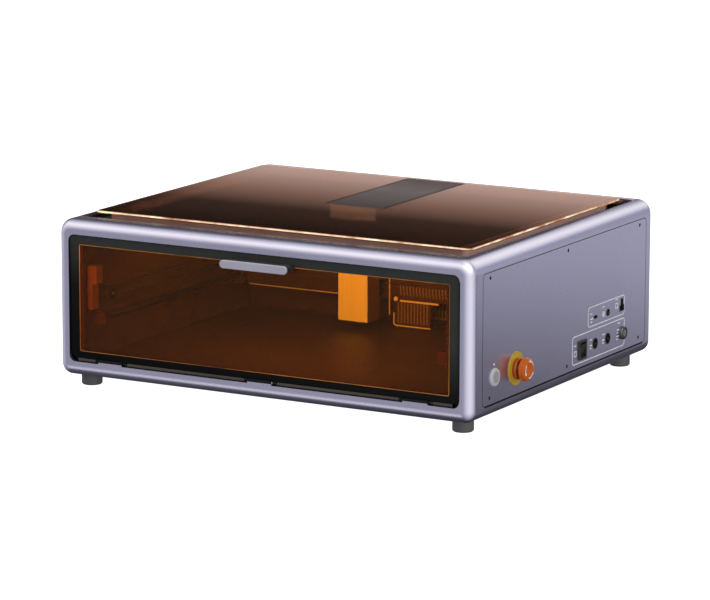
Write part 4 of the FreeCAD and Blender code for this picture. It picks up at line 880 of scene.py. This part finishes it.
def make_ink():
    """Two printed outlines round the sockets, with plain shapes beside each socket."""
    marks = [ink_frame(*place, OUTLINE_CORNER, OUTLINE_W) for place in INK_OUTLINES]
    for y, z, kind in MARKS:
        if kind == "ring":
            marks.append(ink_open(y, z, RING_R, RING_R, RING_W))
        elif kind == "square":
            marks.append(ink_open(y, z, SQUARE_HALF, SQUARE_CORNER, SQUARE_W))
        marks += [ink_bar(y + back, z + up, *size) for back, up, *size in SHAPES[kind]]
    dress(join("panel_printed_marks", marks), MATERIALS["glowing_white_ink"], "chassis")


# --------------------------------
# Stop button: mushroom cap with a dished face, a ribbed grip and three turning arrows
# --------------------------------
# Section of the cap, in mm: inset from its rim, and height from its back or from its face
CAP_BACK = ((4.6, 0.0), (1.4, 0.0), (0.5, 0.4), (0.0, 1.4))
CAP_FACE = ((0.0, 3.6), (0.5, 2.0), (1.9, 0.7), (4.2, 0.1), (6.0, 0.0), (8.0, 0.25))
CAP_DISH = 0.5 * MM                   # depth of the face's middle
CAP_STEPS = 72
CAP_ANGLE = 50
RIBS = 24
RIB_DEPTH = 0.22 * MM
RIBBED_FROM = 0.1 * MM                # inset from the rim where the ribs end
ARROW_STARTS = (20.0, 140.0, 260.0)   # degrees
ARROW_SWEEP = 78.0
ARROW_AT = 0.70                       # radius of the arrows against the cap's
ARROW_W = 1.3 * MM
ARROW_X = (1.4 * MM, 0.02 * MM)       # back and front of the arrows under the cap's face
ARROW_STEPS = 14
ARROW_HEAD_STEPS = 3
ARROW_HEAD_W = 1.3                    # half the head's width against the line's width
ARROW_POINT = 0.05 * MM


def arrow_arc(base, r, start, x0, x1):
    """A curved arrow on the cap's face, between two heights."""
    def at(a, radius, x):
        return Vector((x, base.y + radius * math.cos(a), base.z + radius * math.sin(a)))

    loops = []
    for k in range(ARROW_STEPS + 1):
        a = math.radians(start + ARROW_SWEEP * k / ARROW_STEPS)
        half = ARROW_W / 2
        left = ARROW_STEPS - k
        if left <= ARROW_HEAD_STEPS:
            half = ARROW_W * ARROW_HEAD_W * left / ARROW_HEAD_STEPS + ARROW_POINT
        loops.append([at(a, r - half, x0), at(a, r + half, x0),
                      at(a, r + half, x1), at(a, r - half, x1)])
    return loft("arc", loops)


def make_stop_cap():
    """The cap stands for the CAD one; the arrows lie in its face."""
    lo, hi = CAP_LO, CAP_HI
    base = Vector((lo.x, (lo.y + hi.y) / 2, (lo.z + hi.z) / 2))
    r = (hi.y - lo.y) / 2
    depth = hi.x - lo.x
    profile = [(r - inset * MM, height * MM) for inset, height in CAP_BACK]
    profile += [(r - inset * MM, depth - height * MM) for inset, height in CAP_FACE]
    profile.append((0.0, depth - CAP_DISH))
    cap = turned("stop_cap", base, "x", profile, CAP_STEPS)
    for vertex in cap.data.vertices:
        away = Vector((0.0, vertex.co.y - base.y, vertex.co.z - base.z))
        if away.length > r - RIBBED_FROM:
            turn = math.atan2(away.z, away.y)
            wave = 0.5 + 0.5 * math.cos(RIBS * turn)
            vertex.co -= away.normalized() * (RIB_DEPTH * wave)
    dress(shade(cap, CAP_ANGLE), MATERIALS["orange"], "stop_head", ("estop_cap",))
    face = base.x + depth
    arcs = [arrow_arc(base, r * ARROW_AT, start, face - ARROW_X[0], face - ARROW_X[1])
            for start in ARROW_STARTS]
    dress(join("stop_arrows", arcs), MATERIALS["glowing_white_ink"], "stop_head")


# --------------------------------
# Floor, and the cards that only shiny parts mirror
# --------------------------------
FLOOR_HALF = 30.0
FLOOR_Z = -0.2 * MM
FLOOR_LIFT = 1.12
# Name, low corner, high corner, and colours from the bottom of the card to its top
CARDS = (
    ("lid_card", (-1.0, 0.50, 0.24), (0.13, 0.50, 0.85),
     [(0.0, (1.25, 0.92, 0.82)), (0.0525, (1.05, 0.74, 0.63)), (0.105, (0.52, 0.29, 0.22)),
      (0.145, (0.08, 0.045, 0.035)), (0.197, (0.02, 0.012, 0.010)), (0.60, (0.015, 0.013, 0.013)),
      (1.0, (0.08, 0.08, 0.08))]),
    ("side_card", (0.35, 1.15, -0.50), (2.2, 1.15, 0.60),
     [(0.0, (0.02, 0.02, 0.02)), (0.18, (0.08, 0.08, 0.08)), (0.30, (0.32, 0.32, 0.33)),
      (0.42, (0.60, 0.60, 0.62)), (0.60, (0.48, 0.48, 0.50)), (0.83, (0.42, 0.42, 0.44)),
      (0.93, (1.0, 1.0, 1.02)), (1.0, (1.4, 1.4, 1.42))]),
)


def flat_face(name, corners, material, unseen):
    """A single face of the studio, kept out of some kinds of ray."""
    bm = bmesh.new()
    for corner in corners:
        bm.verts.new(corner)
    bm.faces.new(bm.verts)
    obj = new_object(name, bm)
    obj.data.materials.append(material)
    hide_from(obj, *unseen)


def floor_material():
    """Pale seamless paper, lifted so that it stays near white away from the lamps."""
    m = MaterialTree("pale_floor")
    shader = m.principled(Roughness=0.95, Emission_Strength=FLOOR_LIFT)
    tone = m.ramp(m.noise(2.0, 3.0), [(0.3, (0.86, 0.86, 0.865)), (0.7, (0.90, 0.90, 0.902))])
    m.link(tone, shader.inputs["Base Color"])
    m.link(tone, shader.inputs["Emission Color"])
    return m.material


def make_floor():
    """One wide sheet just under the feet."""
    s = FLOOR_HALF
    corners = [(x, y, FLOOR_Z) for x, y in ((-s, -s), (s, -s), (s, s), (-s, s))]
    flat_face("floor", corners, floor_material(), ("glossy", "diffuse", "shadow"))


def card_material(name, stops):
    """A lit card whose colour changes up its height."""
    m = MaterialTree(name)
    glow = m.add("ShaderNodeEmission")
    m.link(m.ramp(m.across("Z"), stops), glow.inputs["Color"])
    m.surface(glow.outputs["Emission"])
    return m.material


def make_cards():
    """Upright cards behind the machine."""
    for name, (x0, y, z0), (x1, _, z1), stops in CARDS:
        corners = ((x0, y, z0), (x1, y, z0), (x1, y, z1), (x0, y, z1))
        flat_face(name, corners, card_material(name, stops),
                  ("camera", "diffuse", "transmission", "shadow"))


# --------------------------------
# Studio round the machine: what shiny parts mirror, and even light for the rest
# --------------------------------
# Brightness by height, from straight down to straight up, in the studio's front half
# and in its back half
FRONT_STOPS = ((0.0, 0.0), (0.075, 0.02), (0.225, 0.12), (0.402, 0.28), (0.50, 0.45),
               (0.63, 1.05), (0.725, 1.45), (0.82, 1.75), (0.875, 1.40), (0.928, 0.85),
               (1.0, 0.45))
BACK_STOPS = ((0.0, 0.0), (0.25, 0.02), (0.402, 0.28), (0.50, 0.28), (0.60, 0.12),
              (0.725, 0.10), (0.90, 0.12), (1.0, 0.45))
BACK_FROM = 0.35              # where the front half ends, and over what width it fades
BACK_FADE = 0.5
# Soft lights in that studio: direction, sharpness, strength
SKY_LOBES = (
    ((0.855, -0.481, -0.195), 1.6, 1.05),
    ((0.24, 0.855, 0.45), 12.0, 1.5),
    ((-0.481, -0.70, -0.526), 50.0, 1.25),
    ((0.35, -0.10, 0.93), 5.0, 1.35),
    ((-0.98, 0.0, -0.195), 6.0, 0.55),
)
ROOM_LIGHT = 0.16             # even light on matt surfaces
COOL = (1.0, 1.0, 1.02)       # colour of the studio's dim parts, and of its bright ones
WARM = (1.0, 0.99, 0.80)
WARM_FROM, WARM_TO = 0.35, 0.95
BRIGHTEST = 1.6


class WorldTree(Tree):
    """The studio's node tree."""

    def grey_ramp(self, value, stops):
        """Greys by a value from 0 to 1."""
        return self.ramp(value, [(place, (grey, grey, grey)) for place, grey in stops])

    def even_light(self, strength):
        """Light of one strength in all directions."""
        node = self.add("ShaderNodeBackground")
        node.inputs["Color"].default_value = (*COOL, 1.0)
        node.inputs["Strength"].default_value = strength
        return node.outputs["Background"]

    def shaped_light(self, strength):
        """Light by a strength socket, warmer where it is brighter."""
        node = self.add("ShaderNodeBackground")
        warmth = self.maths("DIVIDE", strength, BRIGHTEST)
        self.link(strength, node.inputs["Strength"])
        self.link(self.ramp(warmth, [(WARM_FROM, COOL), (WARM_TO, WARM)]), node.inputs["Color"])
        return node.outputs["Background"]

    def sky(self):
        """Brightness of the studio in each direction, as shiny parts mirror it."""
        direction = self.add("ShaderNodeTexCoord").outputs["Generated"]
        up, depth = self.split(direction, "Z"), self.split(direction, "Y")
        height = self.maths("MULTIPLY", self.maths("ADD", up, 1.0), 0.5)
        front = self.maths("DIVIDE", self.maths("SUBTRACT", BACK_FROM, depth), BACK_FADE)
        front = self.maths("MINIMUM", self.maths("MAXIMUM", front, 0.0), 1.0)
        back = self.maths("SUBTRACT", 1.0, front)
        total = self.maths("ADD",
                           self.maths("MULTIPLY", self.grey_ramp(height, FRONT_STOPS), front),
                           self.maths("MULTIPLY", self.grey_ramp(height, BACK_STOPS), back))
        for aim, sharpness, strength in SKY_LOBES:
            dot = self.add("ShaderNodeVectorMath", operation="DOT_PRODUCT")
            self.link(direction, dot.inputs[0])
            dot.inputs[1].default_value = Vector(aim).normalized()
            facing = self.maths("MAXIMUM", dot.outputs["Value"], 0.0)
            lobe = self.maths("POWER", facing, sharpness)
            total = self.maths("ADD", total, self.maths("MULTIPLY", lobe, strength))
        return total


def make_world():
    """White to the camera, a shaped studio to shiny parts, and even light to the rest."""
    world = bpy.data.worlds.new("studio")
    world.use_nodes = True
    w = WorldTree(world.node_tree)
    path = w.add("ShaderNodeLightPath")
    room = w.choose(path.outputs["Is Glossy Ray"], w.even_light(ROOM_LIGHT),
                    w.shaped_light(w.sky()))
    seen = w.choose(path.outputs["Is Camera Ray"], room, w.even_light(1.0))
    out = w.add("ShaderNodeOutputWorld")
    w.link(seen, out.inputs["Surface"])
    bpy.context.scene.world = world


# --------------------------------
# Lamps and camera
# --------------------------------
# Name, place, width, height, power
STUDIO_LIGHTS = (
    ("overhead", (-1.1, -0.7, 2.1), 2.2, 2.2, 26.0),
    ("front_right", (2.3, -1.35, 0.4), 0.9, 1.4, 14.0),
    ("back_top", (0.7, 2.3, 1.5), 1.8, 1.2, 12.0),
    ("front_fill", (-1.5, -3.0, 0.8), 2.2, 1.6, 9.0),
    ("side_fill", (3.0, 1.6, 0.8), 1.6, 1.4, 12.0),
)
STUDIO_TARGET = (0.0, 0.0, 0.1)
CHAMBER_POWER = 1.0
CHAMBER_COLOUR = (1.0, 0.95, 0.86)
CHAMBER_LAMP_H = 0.012
CHAMBER_OFFSET = Vector((0.0, 0.012, -0.008))    # from the light bar's middle to its lamp
CHAMBER_AIM = Vector((0.0, 0.25, -0.16))         # and to the place the lamp faces
CAM_AT = Vector((2.34424, -4.19675, 1.04954))
CAM_AZIMUTH = math.radians(29.377)
CAM_ELEVATION = math.radians(11.252)
CAM_ROLL = math.radians(0.116)
CAM_LENS = 201.32             # mm, as is the sensor's width
CAM_SENSOR = 36.0
CAM_FAR = 100.0


def area_light(name, at, target, width, height, power, colour=WHITE):
    """A soft lamp that lights the parts and isn't seen itself."""
    data = bpy.data.lights.new(name, "AREA")
    data.energy = power
    data.color = colour
    data.shape = "RECTANGLE"
    data.size = width
    data.size_y = height
    light = bpy.data.objects.new(name, data)
    light.location = at
    light.rotation_euler = (Vector(target) - Vector(at)).to_track_quat("-Z", "Y").to_euler()
    hide_from(light, "camera", "glossy")
    bpy.context.scene.collection.objects.link(light)


def make_lights():
    """Studio lamps, and the lamp of the chamber's own light bar."""
    for name, at, width, height, power in STUDIO_LIGHTS:
        area_light(name, at, STUDIO_TARGET, width, height, power)
    middle = (LIGHT_BAR_LO + LIGHT_BAR_HI) / 2
    area_light("chamber_lamp", middle + CHAMBER_OFFSET, middle + CHAMBER_AIM,
               LIGHT_BAR_HI.x - LIGHT_BAR_LO.x, CHAMBER_LAMP_H, CHAMBER_POWER, CHAMBER_COLOUR)


def make_camera():
    """A long lens a little above the machine, in front and to its right."""
    data = bpy.data.cameras.new("photo_camera")
    data.lens = CAM_LENS
    data.sensor_width = CAM_SENSOR
    data.dof.use_dof = False
    data.clip_end = CAM_FAR
    camera = bpy.data.objects.new("photo_camera", data)
    camera.location = CAM_AT
    turn = (Matrix.Rotation(CAM_AZIMUTH, 3, "Z")
            @ Matrix.Rotation(math.pi / 2 - CAM_ELEVATION, 3, "X")
            @ Matrix.Rotation(CAM_ROLL, 3, "Z"))
    camera.rotation_euler = turn.to_euler()
    bpy.context.scene.collection.objects.link(camera)
    bpy.context.scene.camera = camera


finish_nodes()
make_lid()
make_window_line()
make_door_gap_shade()
make_sill_shade()
make_panel_gaps()
make_gantry_guard()
make_gantry_lines()
make_ink()
make_stop_cap()
make_floor()
make_cards()
make_world()
make_lights()
make_camera()
bpy.context.scene.view_settings.view_transform = "Standard"
